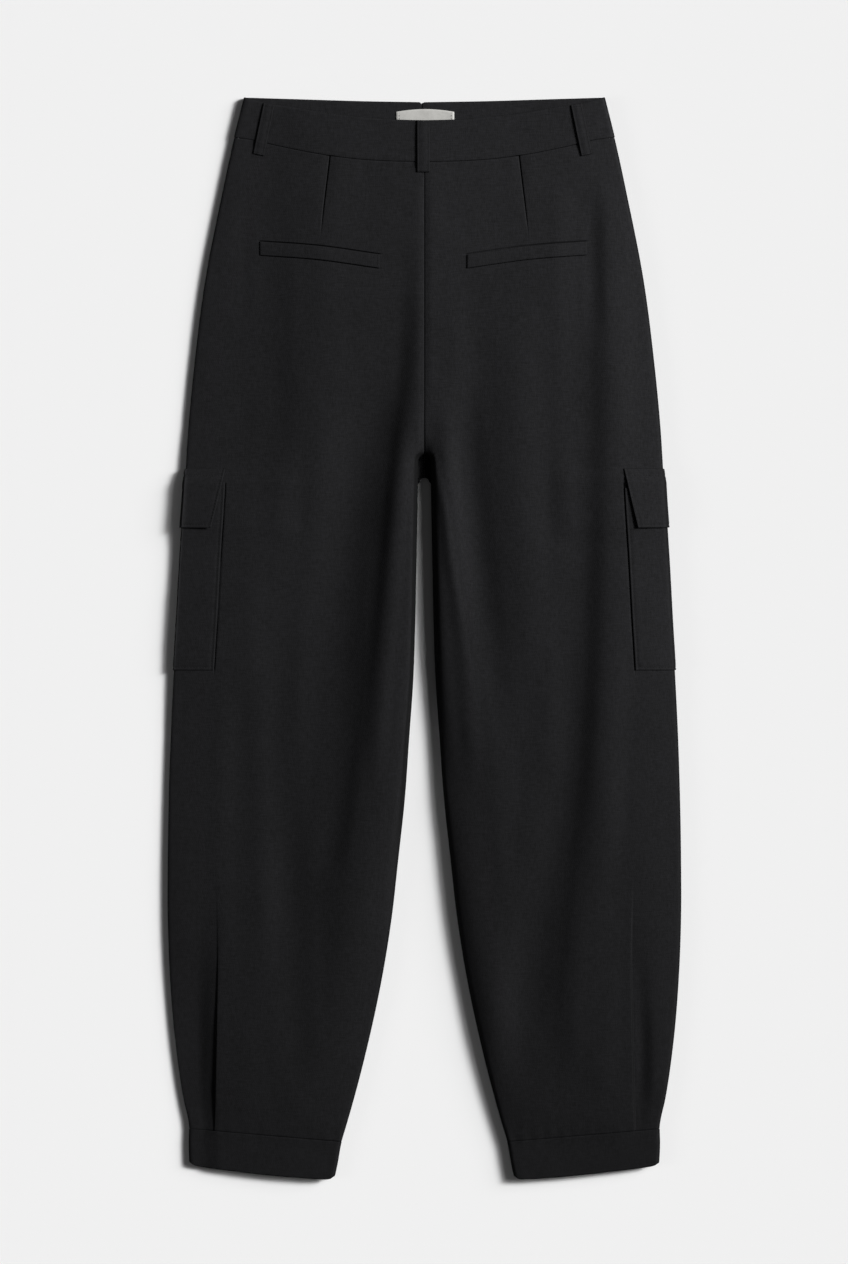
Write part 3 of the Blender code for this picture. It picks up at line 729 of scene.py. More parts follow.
def shell(name, outer, inner, material, closed=False):
    """A closed thin wall between two grids of points. A closed one joins its last column to its first."""
    if closed:
        outer = np.concatenate([outer, outer[:, :1]], axis=1)
        inner = np.concatenate([inner, inner[:, :1]], axis=1)
    rows, columns = outer.shape[:2]
    points = np.concatenate([outer.reshape(-1, 3), inner.reshape(-1, 3)])
    faces = np.concatenate(
        [
            grid_faces(rows, columns, 0),
            grid_faces(rows, columns, rows * columns)[:, ::-1],
            rim_faces(rows, columns, closed),
        ]
    )
    if closed:  # the repeated column becomes the first again
        index = np.arange(2 * rows * columns).reshape(2, rows, columns)
        index[:, :, -1] = index[:, :, 0]
        kept, index = np.unique(index.ravel(), return_inverse=True)
        points, faces = points[kept], index[faces]
    points = laid(points)
    return mesh_object(name, points, turned_out(points, faces), material, sharp=True)


def lay_columns(down, groups, counts):
    """Distances out of a grid's columns. Each group is a line and the offsets from it that get a
    column, and counts are the evenly spaced columns between one group and the next."""
    columns = []
    for i, (_, offsets) in enumerate(groups):
        columns += [(i, offset, i, offset, 0.0) for offset in offsets]
        if i + 1 < len(groups):
            following = groups[i + 1][1][0]
            shares = np.linspace(0, 1, counts[i] + 2)[1:-1]
            columns += [(i, offsets[-1], i + 1, following, share) for share in shares]
    line_a, offset_a, line_b, offset_b, share = (np.array(values) for values in zip(*columns))
    lines = np.stack([line(down) for line, _ in groups])
    pick = np.arange(len(columns))
    first = lines[line_a, :, pick].T + offset_a
    second = lines[line_b, :, pick].T + offset_b
    return first * (1 - share) + second * share


SETTLING_ROUNDS = 6


def settled_grid(down, groups, counts, drops):
    """Distances out and down of a grid whose columns and rows depend on each other, found in a few
    rounds from a first guess down. drops gives each row's distance down at given distances out."""
    columns = sum(len(offsets) for _, offsets in groups) + sum(counts)
    down = down + np.zeros((1, columns))
    for _ in range(SETTLING_ROUNDS):
        out = lay_columns(down, groups, counts)
        down = drops(out)
    return out, down


CROTCH_WEB_END = 381.0  # the front's crotch hangs this low, behind the back's
CROTCH_WEB_SINK = 2.6  # and lies this far below the inseams
CROTCH_WEB_BEND = 1.5


def webbed_inner_edge(down):
    """The front's inner edge, whose crotch hangs lower than the back's."""
    rise = np.clip((CROTCH_WEB_END - down) / CROTCH_RADIUS + 1, 0, 1)
    return np.maximum(half_gap(down) * np.sqrt(1 - rise**2), SEAM_GAP / 2)


def webbed_front_height(side, out, down):
    """The front sinks where it shows between the legs, below the back's crotch."""
    shown = soft_step(-from_inseam(out, down) / CROTCH_WEB_BEND) * (down > CROTCH)
    return front_height(side, out, down) - CROTCH_WEB_SINK * shown


# Columns of the grids, as offsets from lines down the leg, and the even columns between the lines
EDGE_TURN = np.radians(np.linspace(0, 90, 8))
TOP_EDGE = TOP_RADIUS * (1 - np.cos(EDGE_TURN))
BOTTOM_EDGE = BOTTOM_RADIUS * (1 - np.cos(EDGE_TURN))
BEYOND_EDGE = (6.0, 8.5, 11.5)
CREASE_STEPS = (4.0, 2.6, 1.6, 0.9, 0.45, 0.0, -0.45, -0.9, -1.6, -2.6, -4.0)
BACK_GROUPS = (
    (side_edge, [-step for step in (*TOP_EDGE, *BEYOND_EDGE)]),
    (tuck_line, CREASE_STEPS),
    (dart_line, CREASE_STEPS),
    (inner_edge, [*BEYOND_EDGE[::-1], *TOP_EDGE[::-1]]),
)
BACK_COUNTS = (10, 34, 34)
FRONT_GROUPS = (
    (side_edge, [-step for step in (*BOTTOM_EDGE, *BEYOND_EDGE)]),
    (webbed_inner_edge, [*BEYOND_EDGE[::-1], *BOTTOM_EDGE[::-1]]),
)
FRONT_COUNTS = (34,)
CUFF_BACK_COUNTS = (60,)
CUFF_FRONT_COUNTS = (24,)

# Spacing of the rows where nothing asks for closer ones
BACK_SPACING, FRONT_SPACING = 4.0, 9.0
POCKET_SPACING, FLAP_SPACING = 3.0, 2.0
LOOP_SPACING, WELT_SPACING, WELT_COLUMN_SPACING = 1.5, 1.2, 1.6

# Rows of a leg's grid: close at the seams, the welt and the crotch, and evenly spaced between them
SEAM_ROWS = np.array([0.0, 0.35, 0.8, 1.3, 2.0, 3.0, 4.5])
WELT_LINE_ROWS = np.array([-3.0, -1.8, -1.35, -0.9, -0.45, 0.0, 0.45, 1.5])
SEAM_TO_WELT = 90.0
WELT_TO_BLOCK = 40.0
TOP_BLOCK_END = 204.0
HEM_BLOCK_START = 985.0
HEM_BLOCK = LENGTH - 45.0 - HEM_BLOCK_START
CROTCH_ROWS = CROTCH_RADIUS * (1 - np.cos(np.radians(np.linspace(0, 90, 10))))
NEAR_CROTCH_ROWS = CROTCH + np.array([-8, -4, -2, -0.8, 8, 10.5, 13, 16, 19, 21, 32])
CROTCH_BLOCK = 22.0  # no even rows this near to the crotch's middle
FIRST_TOP, FIRST_WELT, FIRST_CUFF = 60.0, 150.0, 1038.0  # guesses that settled_grid starts from


def leg_rows(spacing):
    """Each row's place: a straight drop, and its shares of the waist seam, welt line and cuff seam."""
    welt_rows = np.concatenate([WELT_LINE_ROWS, [4.5, 9.0], WELT_HEIGHT - WELT_LINE_ROWS[::-1]])
    shares = np.linspace(0, 1, int(SEAM_TO_WELT / spacing))[1:-1]
    rows = [(drop, 1.0, 0.0, 0.0) for drop in SEAM_ROWS]
    rows += [(SEAM_ROWS[-1] * (1 - s) + welt_rows[0] * s, 1 - s, s, 0.0) for s in shares]
    rows += [(drop, 0.0, 1.0, 0.0) for drop in welt_rows]
    shares = np.linspace(0, 1, int(WELT_TO_BLOCK / spacing) + 2)[1:-1]
    rows += [(welt_rows[-1] * (1 - s) + TOP_BLOCK_END * s, 0.0, 1 - s, 0.0) for s in shares]
    even = np.arange(TOP_BLOCK_END, HEM_BLOCK_START, spacing)
    away = np.abs(even - (CROTCH + CROTCH_WEB_END + CROTCH_RADIUS) / 2) > CROTCH_BLOCK
    middle = [even[away], CROTCH + CROTCH_ROWS, CROTCH_WEB_END + CROTCH_ROWS, NEAR_CROTCH_ROWS]
    rows += [(down, 0.0, 0.0, 0.0) for down in np.sort(np.concatenate(middle))]
    above_seam = np.linspace(SEAM_ROWS[-1] / HEM_BLOCK, 1, int(HEM_BLOCK / spacing))[1:]
    shares = 1 - np.append(SEAM_ROWS / HEM_BLOCK, above_seam)
    rows += [(HEM_BLOCK_START * (1 - share), 0.0, 0.0, share) for share in shares[::-1]]
    return np.array(rows)


def leg_grid(spacing, groups, counts, top_seam):
    """Distances out and down of a leg panel's grid, from its waist seam to the cuff seam."""
    drop, top, middle, hem = (column[:, None] for column in leg_rows(spacing).T)

    def drops(out):
        seam = top_seam(out) + SEAM_GAP / 2
        cuff = edge_line(CUFF_SEAM, out) - SEAM_GAP / 2
        return drop + top * seam + middle * welt_line(out) + hem * cuff

    first = drop + top * FIRST_TOP + middle * FIRST_WELT + hem * FIRST_CUFF
    return settled_grid(first, groups, counts, drops)


# ---------------------------------------------------------------- relief of the finished cloth


FAR = 99.0  # stands for a distance at which a seam or edge has no effect


def rolled(distance, roll):
    """How far cloth rolls down at a distance from a seam or folded edge."""
    return -roll.depth * (1 - quarter_round(distance / roll.width))


def from_centre_seam(out, down):
    return np.where(down < CROTCH, out, FAR)


def ripples(x, down):
    height = 0.0
    for ripple in RIPPLES:
        across = x * np.cos(ripple.turn) + down * np.sin(ripple.turn)
        height = height + ripple.height * np.sin(2 * np.pi * across / ripple.length + ripple.phase)
    return height


def puckers(distance, along, pucker):
    """Small waves at a distance from a seam, uneven in spacing and height, and mostly on one side."""
    uneven = along / pucker.spacing + 0.35 * np.sin(along / (2.3 * pucker.spacing) + pucker.phase)
    strength = 0.6 + 0.4 * np.sin(along / (1.7 * pucker.spacing) + 2 * pucker.phase)
    away = np.where(distance < 0, -4 * distance, distance)
    return pucker.height * strength * np.sin(2 * np.pi * uneven) * np.exp(-away / pucker.reach)


def dart_groove(out, down):
    share = dart_share(down)
    fade = np.where((share > 0) & (share < 1), 1 - np.clip(share, 0, 1) ** 4, 0)
    return -DART_GROOVE * notch(out - dart_line(down), DART_GROOVE_REACH) * fade


def welt_groove(side, out, down):
    """The back turns in along the upper and lower edge of each welt."""
    along = out - side * WELT_SIDE_SHIFT[side]
    inside = (along > WELT[0].out - WELT_GROOVE_OFFSET) & (along < WELT[-1].out + WELT_GROOVE_OFFSET)
    from_top = down - welt_line(along) + WELT_GROOVE_OFFSET
    from_end = down - welt_line(along) - WELT_HEIGHT - WELT_GROOVE_OFFSET
    groove = WELT_GROOVE * notch(from_top, WELT_GROOVE_REACH)
    groove = groove + WELT_LOWER_GROOVE * notch(from_end, WELT_GROOVE_REACH)
    return np.where(inside, -groove, 0)


def crease_height(crease, out, down):
    downs = np.array(crease.down, float)
    along = smooth(down, downs, np.array(crease.height, float))
    along = np.where((down > downs[0]) & (down < downs[-1]), along, 0)
    return share_across(crease, out, down) * along


def back_slack(x, down):
    """Creases and unevenness that the finished back has beyond its solid, with all that lies on it."""
    out = np.abs(x)
    slack = ripples(x, down)
    for side, _ in SIDES:
        creases = sum(crease_height(crease, out, down) for crease in CREASES if crease.side == side)
        slack = slack + np.where(x * side > 0, creases, 0)
    slack = slack + puckers(down - back_band_seam(out), x, BAND_SEAM_PUCKER)
    slack = slack + puckers(edge_line(CUFF_SEAM, out) - down, x, CUFF_SEAM_PUCKER)
    slack = slack + puckers(from_centre_seam(out, down), down, CENTRE_SEAM_PUCKER)
    free = soft_step(from_side(out, down) / FOLD_MARGIN)
    return slack * free * soft_step(from_inseam(out, down) / SLACK_MARGIN)


def flank_share(table, out, down):
    """How much of the height above the seam is pressed out of the left leg's outer side."""
    low, rise, share = (straight(down, table, name) for name in ("low", "rise", "share"))
    return share * (1 - soft_step((from_side(out, down) - low) / rise))


def laid(points):
    """Points of a finished piece where it settles: the back by its slack, the left leg's outer side flat."""
    x, down, height = points[..., 0], LENGTH / 2 - points[..., 1], points[..., 2]
    out = np.abs(x)
    seam = SEAM_HEIGHT + lift(out, down)
    above = height - seam
    kept = (1 - flank_share(WIDE_FLANK, out, down)) * (1 - flank_share(TUCK_FLANK, out, down))
    share = np.where(x < 0, 1 - kept, 0)
    base = back_height(LEFT, out, down) - seam
    squeezed = above - share * np.minimum(above, base)
    lowered = above - share * base
    inward = soft_step((from_side(out, down) - FLANK_EDGE) / FLANK_EDGE_BLEND)
    settled = squeezed + (lowered - squeezed) * inward
    height = np.where(above > 0, seam + settled + back_slack(x, down), height)
    pressed = 1 - soft_step((from_side(out, down) - PRESS_LOW) / PRESS_RISE)
    height = height * (1 - PRESS * np.where(x < 0, pressed, 0))
    return np.stack([x, points[..., 1], height], axis=-1)


def pocket_groove(out, down):
    """The back sinks beside each cargo pocket's inner edge, where that is stitched down."""
    beside = from_side(out, down) - POCKET_BACK_WIDTH - POCKET_GROOVE_OFFSET
    along = (down > FLAP_OVER_POCKET) & (down < POCKET_END)
    return np.where(along, -POCKET_GROOVE * notch(beside, POCKET_GROOVE_REACH), 0)


def back_details(side, out, down):
    """Seam rolls and the grooves of the dart and welt, on the face that shows."""
    rolls = rolled(down - back_band_seam(out), SEAM_ROLL)
    rolls = rolls + rolled(edge_line(CUFF_SEAM, out) - down, SEAM_ROLL)
    rolls = rolls + rolled(from_centre_seam(out, down), SEAM_ROLL)
    rolls = np.maximum(rolls + front_relief(out, down), -DEEPEST_ROLL)
    return dart_groove(out, down) + welt_groove(side, out, down) + pocket_groove(out, down) + rolls


def front_relief(out, down):
    """A leg rolls in at its side seam and inseam. The front is otherwise flat on the surface."""
    inseam = rolled(from_inseam(out, down), SIDE_ROLL)
    return rolled(from_side(out, down), SIDE_ROLL) + np.where(down > CROTCH, inseam, 0)


def folded_edge(distance, cloth):
    """Height of a doubled piece above its underside, round at its folded edges."""
    return cloth * (EDGE_LEFT + (1 - EDGE_LEFT) * quarter_round(distance / EDGE_ROLL_WIDTH))


def raised(points, height):
    return points + height[..., None] * np.array([0, 0, 1.0])


# ---------------------------------------------------------------- stitches

STITCH_PITCH = 3.0
STITCH_LENGTH = 2.5
STITCH_HALF_WIDTH = 0.28
STITCH_DENT = 0.35
STITCH_DENT_REACH = 0.7
BARTACK_PITCH = 1.5
FIRST_STITCH = 0.3
STITCH_ROUND = (0, 2, 1, 3)  # its corners in plan, in turn: first, one side, last, other side
STITCH_TOP, STITCH_BASE = 4, 5


def stitch_dent(distance):
    """Dent of a row of stitches at a distance from it."""
    return -STITCH_DENT * np.exp(-((distance / STITCH_DENT_REACH) ** 2))


def stitch_row(path, pitch):
    """Corners of the stitches along a path: each a small lozenge from hole to hole."""
    path = laid(path)
    travelled = np.append(0, np.cumsum(np.linalg.norm(np.diff(path, axis=0), axis=1)))
    starts = np.arange(FIRST_STITCH, travelled[-1] - STITCH_LENGTH, pitch)
    length = STITCH_LENGTH * pitch / STITCH_PITCH
    first, last = (
        np.stack([np.interp(along, travelled, path[:, axis]) for axis in range(3)], axis=1)
        for along in (starts, starts + length)
    )
    up = np.array([0, 0, 1.0])
    across = STITCH_HALF_WIDTH * unit(np.cross(last - first, up))
    middle = (first + last) / 2
    rise = STITCH_HALF_WIDTH * up
    return np.stack([first, last, middle - across, middle + across, middle + rise, middle - rise], axis=1)


def sewn(name, paths, thread, pitch=STITCH_PITCH):
    """Rows of stitches in thread along the paths, as one object that goes with the garment."""
    corners = np.concatenate([stitch_row(path, pitch) for path in paths])
    sides = list(zip(STITCH_ROUND, (*STITCH_ROUND[1:], STITCH_ROUND[0])))
    stitch = [(a, b, STITCH_TOP) for a, b in sides] + [(b, a, STITCH_BASE) for a, b in sides]
    starts = corners.shape[1] * np.arange(len(corners))
    faces = (starts[:, None, None] + np.array(stitch)).reshape(-1, 3)
    made = mesh_object(name, corners.reshape(-1, 3), faces, thread)
    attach(made, "root")


def nearest(values, wanted):
    return int(np.argmin(np.abs(np.asarray(values) - wanted)))


# ---------------------------------------------------------------- pieces


def back_panel(side, name, cloth):
    out, down = leg_grid(BACK_SPACING, BACK_GROUPS, BACK_COUNTS, back_band_seam)
    outer = face_at(side, back_height, 1, out, down).moved(back_details(side, out, down))
    inner = face_at(side, soft_back_height, 1, out, down).moved(-CLOTH)
    return shell(f"back_{name}_cloth", outer, inner, cloth)


def front_panel(side, name, cloth):
    out, down = leg_grid(FRONT_SPACING, FRONT_GROUPS, FRONT_COUNTS, front_band_seam)
    face = face_at(side, webbed_front_height, -1, out, down)
    return shell(f"front_{name}_cloth", face.moved(front_relief(out, down)), face.moved(-CLOTH), cloth)


def band_face(side, height, upward, groups, counts, top_edge, lower_edge, row_count):
    """Half of a waistband, from its side seam to its end near the centre line."""
    turn = np.linspace(-1, 1, row_count)
    rows = (0.5 + 0.5 * np.sin(np.pi / 2 * turn))[:, None]

    def drops(out):
        return top_edge(out) * (1 - rows) + (lower_edge(np.abs(out)) - SEAM_GAP / 2) * rows

    out, down = settled_grid(FIRST_BAND * rows, groups, counts, drops)
    return face_at(side, height, upward, out, down)


def centre_line(down):
    return 0.0 * down


BACK_BAND_COUNTS, BACK_BAND_ROWS = (92,), 22
FRONT_BAND_COUNTS, FRONT_BAND_ROWS = (80,), 18
FIRST_BAND = 30.0
FRONT_BAND_WAVE = 0.05
FRONT_BAND_WAVE_LENGTH = 9.0


def back_waistband(cloth):
    groups = ((side_edge, [-step for step in TOP_EDGE]), (centre_line, [0.0]))
    halves = [
        band_face(side, back_height, 1, groups, BACK_BAND_COUNTS, back_waist, back_band_seam, BACK_BAND_ROWS)
        for side, _ in SIDES
    ]
    band = face_joined(halves[0], face_reversed(halves[1], skip=1))
    at_top = band.down - back_waist(band.out)
    relief = rolled(at_top, BAND_TOP_ROLL) + rolled(back_band_seam(band.out) - band.down, BAND_SEAM_ROLL)
    relief = relief + puckers(at_top, band.points[..., 0], WAIST_PUCKER)
    relief = relief + rolled(from_side(band.out, band.down), SIDE_ROLL) + BAND_PROUD
    return shell("back_waistband_cloth", band.moved(relief), band.moved(BAND_PROUD - BAND_CLOTH), cloth)


def front_waistband(side, name, cloth):
    """Half of the far band, whose inner face shows above the near one."""
    end = side * CLOSURE_X + SEAM_GAP / 2

    def closure(down):
        return end + 0.0 * down

    def top_edge(out):
        near = np.clip(1 - (out - end) / NOTCH_HALF_WIDTH, 0, 1)
        return edge_line(FRONT_WAIST, np.abs(out)) + NOTCH_DEPTH * near**2

    groups = (
        (side_edge, [-step for step in BOTTOM_EDGE]),
        (closure, [6.0, 4.0, NOTCH_HALF_WIDTH, 2.0, 1.3, 0.7, 0.3, 0.0]),
    )
    counts, row_count = FRONT_BAND_COUNTS, FRONT_BAND_ROWS
    face = band_face(side, front_height, -1, groups, counts, top_edge, front_band_seam, row_count)
    at_edge = np.minimum(face.down - top_edge(face.out), face.out - end + 0.1)
    wave = FRONT_BAND_WAVE * np.sin(face.out / FRONT_BAND_WAVE_LENGTH) * soft_step(at_edge / SLACK_MARGIN)
    inside = folded_edge(at_edge, BAND_CLOTH) + wave
    return shell(f"front_waistband_{name}_cloth", face.moved(0), face.moved(-inside), cloth)


def wrapped_face(side, back_steps, front_steps, down, skew=0.0):
    """A patch round the side seam: back steps from its inner edge to the seam, then front steps."""
    fall = (down - down[0]) / (down[-1] - down[0])
    share = skew * np.clip((back_steps - TOP_RADIUS) / (POCKET_BACK_WIDTH - TOP_RADIUS), 0, 1)
    steps = back_steps * (1 - share * fall[:, None])
    rows = down[:, None]
    over = face_at(side, back_height, 1, side_edge(rows) - steps, rows + 0 * steps)
    steps_under = front_steps + 0 * rows
    under = face_at(side, front_height, -1, side_edge(rows) - steps_under, rows + 0 * steps_under)
    return face_joined(over, under), steps, fall


EDGE_STEPS = np.array([0.0, 0.3, 0.6, 1.1, 1.8, 2.6, 3.4])  # from a folded or stitched edge


def patch_steps():
    """Steps from the side seam of a patch's columns: back ones from its inner edge, then front ones."""
    back = [POCKET_BACK_WIDTH - EDGE_STEPS, np.arange(34.5, 4.5, -2.0), TOP_EDGE[::-1]]
    end = POCKET_FRONT_WIDTH - np.array([2.0, 1.1, 0.6, 0.3, 0.0])
    front = [BOTTOM_EDGE, np.arange(8.0, POCKET_FRONT_WIDTH - 3, 4.0), end]
    return np.concatenate(back), np.concatenate(front)


def fine_rows(first, last, spacing):
    middle = np.arange(first + 5.0, last - 4.0, spacing)
    return np.concatenate([first + EDGE_STEPS, middle, (last - EDGE_STEPS)[::-1]])


def cargo_pocket(side, name, cloth, thread):
    rows = fine_rows(POCKET_TOP, POCKET_END, POCKET_SPACING)
    down = rows[:, None]
    back_steps, front_steps = patch_steps()
    seam = len(back_steps)
    face, steps, _ = wrapped_face(side, back_steps, front_steps, rows)
    under = front_steps + 0 * down
    to_inner = np.concatenate([POCKET_BACK_WIDTH - steps, FAR + 0 * under], axis=1)
    to_front = np.concatenate([FAR + 0 * steps, POCKET_FRONT_WIDTH - under], axis=1)
    to_end = POCKET_END - down
    to_edge = np.minimum(np.minimum(to_inner, to_front), np.minimum(to_end, down - POCKET_TOP))
    dents = stitch_dent(to_inner - POCKET_EDGE_STITCH) + stitch_dent(to_end - POCKET_EDGE_STITCH)
    across = np.sin(np.clip(to_inner, 0, POCKET_BACK_WIDTH) / POCKET_WAVE_ACROSS)
    slack = POCKET_SLACK * across * np.sin(down / POCKET_WAVE_DOWN + side)
    slack = slack * soft_step(to_inner / POCKET_SLACK_MARGIN) * soft_step(to_end / POCKET_SLACK_MARGIN)
    outer = SEAM_GAP + folded_edge(to_edge, PATCH_CLOTH) + dents
    points = face.moved(outer + np.where(to_inner < POCKET_BACK_WIDTH, slack, 0))
    inner = nearest(back_steps, POCKET_BACK_WIDTH - POCKET_EDGE_STITCH)
    end = nearest(rows, POCKET_END - POCKET_EDGE_STITCH)
    sewn(f"cargo_pocket_{name}_stitches", [points[:end, inner], points[end, inner:seam]], thread)
    return shell(f"cargo_pocket_{name}_cloth", points, face.moved(SEAM_GAP), cloth)


def flap_stand(steps, fall):
    """How far the flap's underside stands off, most at its lower inner corner."""
    share = np.interp(steps, [-BOTTOM_RADIUS, 0, POCKET_BACK_WIDTH], [0, FLAP_SIDE_SHARE, 1])
    return FLAP_STAND * fall[:, None] ** 2 * share


def cargo_flap(side, name, cloth, thread):
    rows = fine_rows(FLAP_TOP, FLAP_END, FLAP_SPACING)
    down = rows[:, None]
    back_steps, front_steps = patch_steps()
    seam = len(back_steps)
    face, steps, fall = wrapped_face(side, back_steps, front_steps, rows, FLAP_SKEW)
    front_along = -front_steps + 0 * down
    along = np.concatenate([steps, front_along], axis=1)
    to_inner = steps.max(axis=1, keepdims=True) - along
    to_end = FLAP_END - down
    to_edge = np.minimum(to_inner, POCKET_FRONT_WIDTH + along)
    to_edge = np.minimum(to_edge, np.minimum(to_end, down - FLAP_TOP))
    stand = flap_stand(np.concatenate([back_steps + 0 * down, front_along], axis=1), fall)
    under = straight(down, LIFTS, "height") - CLOTH + stand
    dents = stitch_dent(down - FLAP_TOP - FLAP_TOPSTITCH)
    dents = dents + stitch_dent(to_inner - FLAP_EDGE_STITCH) + stitch_dent(to_end - FLAP_EDGE_STITCH)
    points = face.moved(under + folded_edge(to_edge, PATCH_CLOTH) + dents)
    inner = nearest(back_steps, POCKET_BACK_WIDTH - FLAP_EDGE_STITCH)
    top = nearest(rows, FLAP_TOP + FLAP_TOPSTITCH)
    end = nearest(rows, FLAP_END - FLAP_EDGE_STITCH)
    paths = [points[top, :seam], points[top:end, inner], points[end, inner:seam]]
    sewn(f"cargo_flap_{name}_stitches", paths, thread)
    return shell(f"cargo_flap_{name}_cloth", points, face.moved(under), cloth)


def cuff_face(side, height, upward, edge, counts):
    groups = ((side_edge, [-step for step in edge]), (inner_edge, list(edge[::-1])))
    at_seam = SEAM_ROWS / CUFF_HEIGHT
    rows = np.concatenate([at_seam, CUFF_MIDDLE_ROWS, 1 - at_seam[::-1]])
    rows = rows[np.append(True, np.diff(rows) > 0)][:, None]

    def drops(out):
        seam = edge_line(CUFF_SEAM, out) + SEAM_GAP / 2
        return seam * (1 - rows) + edge_line(HEM, out) * rows

    out, down = settled_grid(FIRST_CUFF + FIRST_BAND * rows, groups, counts, drops)
    return face_at(side, height, upward, out, down)


def hem_cuff(side, name, cloth):
    over = cuff_face(side, back_height, 1, TOP_EDGE, CUFF_BACK_COUNTS)
    under = cuff_face(side, front_height, -1, BOTTOM_EDGE, CUFF_FRONT_COUNTS)
    at_seam = over.down - edge_line(CUFF_SEAM, over.out)
    at_hem = edge_line(HEM, over.out) - over.down
    relief = rolled(at_seam, CUFF_TOP_ROLL) + rolled(at_hem, HEM_ROLL)
    relief = relief + puckers(at_hem, over.out, HEM_PUCKERS[side])
    join = notch(over.out - CUFF_JOIN_OUT, CUFF_JOIN_REACH) * soft_step(at_hem / CUFF_JOIN_FADE)
    relief = relief - CUFF_JOIN_DEPTH[side] * join
    edge_under = front_relief(under.out, under.down)
    ring = face_joined(over, face_reversed(under))
    outer = ring.moved(np.concatenate([relief, edge_under[:, ::-1]], axis=1))
    return shell(f"hem_cuff_{name}_cloth", outer, ring.moved(-CUFF_CLOTH), cloth, closed=True)


def loop_face(loop, across, along):
    """Places on a belt loop's underside: across from -1 to 1, and along from its top to its end."""
    x = loop.top_x + (loop.end_x - loop.top_x) * along + across * loop.width / 2
    top_down = back_waist(np.abs(loop.top_x + across * loop.width / 2)) + LOOP_INSET
    middle_top = back_waist(abs(loop.top_x)) + LOOP_INSET
    slant = (loop.end_x - loop.top_x) / (loop.end_down - middle_top)
    down = top_down + (loop.end_down - slant * across * loop.width / 2 - top_down) * along
    out = np.abs(x)
    side = np.where(x < 0, LEFT, RIGHT)
    height = np.where(x < 0, back_height(LEFT, out, down), back_height(RIGHT, out, down))
    past_seam = down - back_band_seam(out)
    height = height + BAND_PROUD * (1 - soft_step(past_seam / LOOP_STEP_DOWN)) + SEAM_GAP
    height = height + LOOP_SLACK * np.sin(np.pi * np.clip(along, 0, 1)) ** 0.7
    return place(side, out, down, height)


def belt_loop(loop, cloth, thread):
    across = np.array([-1, -0.95, -0.88, -0.78, -0.6, -0.35, 0, 0.35, 0.6, 0.78, 0.88, 0.95, 1])[None, :]
    along = fine_rows(0.0, LOOP_ROWS, LOOP_SPACING)[:, None] / LOOP_ROWS
    under = loop_face(loop, across, along)
    length = loop.end_down - LOOP_INSET
    to_edge = np.minimum((1 - np.abs(across)) * loop.width / 2, np.minimum(along, 1 - along) * length)
    thick = folded_edge(to_edge, LOOP_CLOTH) + LOOP_BULGE * (1 - across**2)
    thick = thick + stitch_dent((1 - np.abs(across)) * loop.width / 2 - LOOP_EDGE_STITCH)
    over = raised(under, thick)
    tacks = [over[nearest(along[:, 0] * length, drop), 1:-1] for drop in (LOOP_TACK, length - LOOP_TACK)]
    sewn(f"{loop.name}_bartacks", tacks, thread, BARTACK_PITCH)
    return shell(f"{loop.name}_cloth", over, under, cloth)


def welt_line(out):
    return edge_line(WELT, out)


def welt(side, name, cloth, thread):
    out = fine_rows(WELT[0].out, WELT[-1].out, WELT_COLUMN_SPACING)[None, :]
    rows = (fine_rows(0.0, WELT_HEIGHT, WELT_SPACING) / WELT_HEIGHT)[:, None]
    down = welt_line(out) + WELT_HEIGHT * rows
    out = out + side * WELT_SIDE_SHIFT[side] + 0 * rows
    under = place(side, out, down, back_height(side, out, down) + SEAM_GAP)
    to_end = np.minimum(out - out.min(), out.max() - out)
    to_edge = np.minimum(to_end, WELT_HEIGHT * np.minimum(rows, 1 - rows) + 0 * to_end)
    thick = folded_edge(to_edge, PATCH_CLOTH) + WELT_BULGE * np.sin(np.pi * rows) * soft_step(to_end / 10)
    over = raised(under, thick)
    tack = nearest(to_end[0], WELT_TACK)
    tacks = [over[1:-1, tack], over[1:-1, -1 - tack]]
    sewn(f"welt_{name}_bartacks", tacks, thread, BARTACK_PITCH)
    return shell(f"welt_{name}_cloth", over, under, cloth)


def label_face(across, rows):
    """Places on the label's underside: across from -1 to 1 and rows from 0 at its top to 1."""
    x = LABEL_CENTRE + across * LABEL_WIDTH / 2
    down = LABEL_DOWN - LABEL_BOW * (1 - across**2) * (1 - rows) + LABEL_HEIGHT * rows
    return np.stack([x + 0 * down, LENGTH / 2 - down, BAND_CLOTH + SEAM_GAP + 0 * down], axis=-1)


def label(woven, thread):
    across = np.linspace(-1, 1, 60)[None, :]
    rows = np.linspace(0, 1, 26)[:, None]
    under = label_face(across, rows)
    to_edge = np.minimum((1 - np.abs(across)) * LABEL_WIDTH / 2, np.minimum(rows, 1 - rows) * LABEL_HEIGHT)
    wave = LABEL_WAVE * np.sin(across * LABEL_WAVES) * soft_step(to_edge / LABEL_STITCH)
    thick = folded_edge(to_edge, LABEL_CLOTH) + wave
    over = raised(under, thick)
    end = nearest(to_edge[len(rows) // 2 - 1], LABEL_STITCH)
    sewn("label_stitches", [over[:, end], over[:, -1 - end]], thread)
    return shell("label_cloth", over, under, woven)


# ---------------------------------------------------------------- materials


def linear(hex_colour):
    """An sRGB hex colour as linear red, green, blue and alpha."""
    channels = np.array([int(hex_colour[i : i + 2], 16) for i in (1, 3, 5)]) / 255
    values = np.where(channels <= 0.04045, channels / 12.92, ((channels + 0.055) / 1.055) ** 2.4)
    return (*values.tolist(), 1.0)


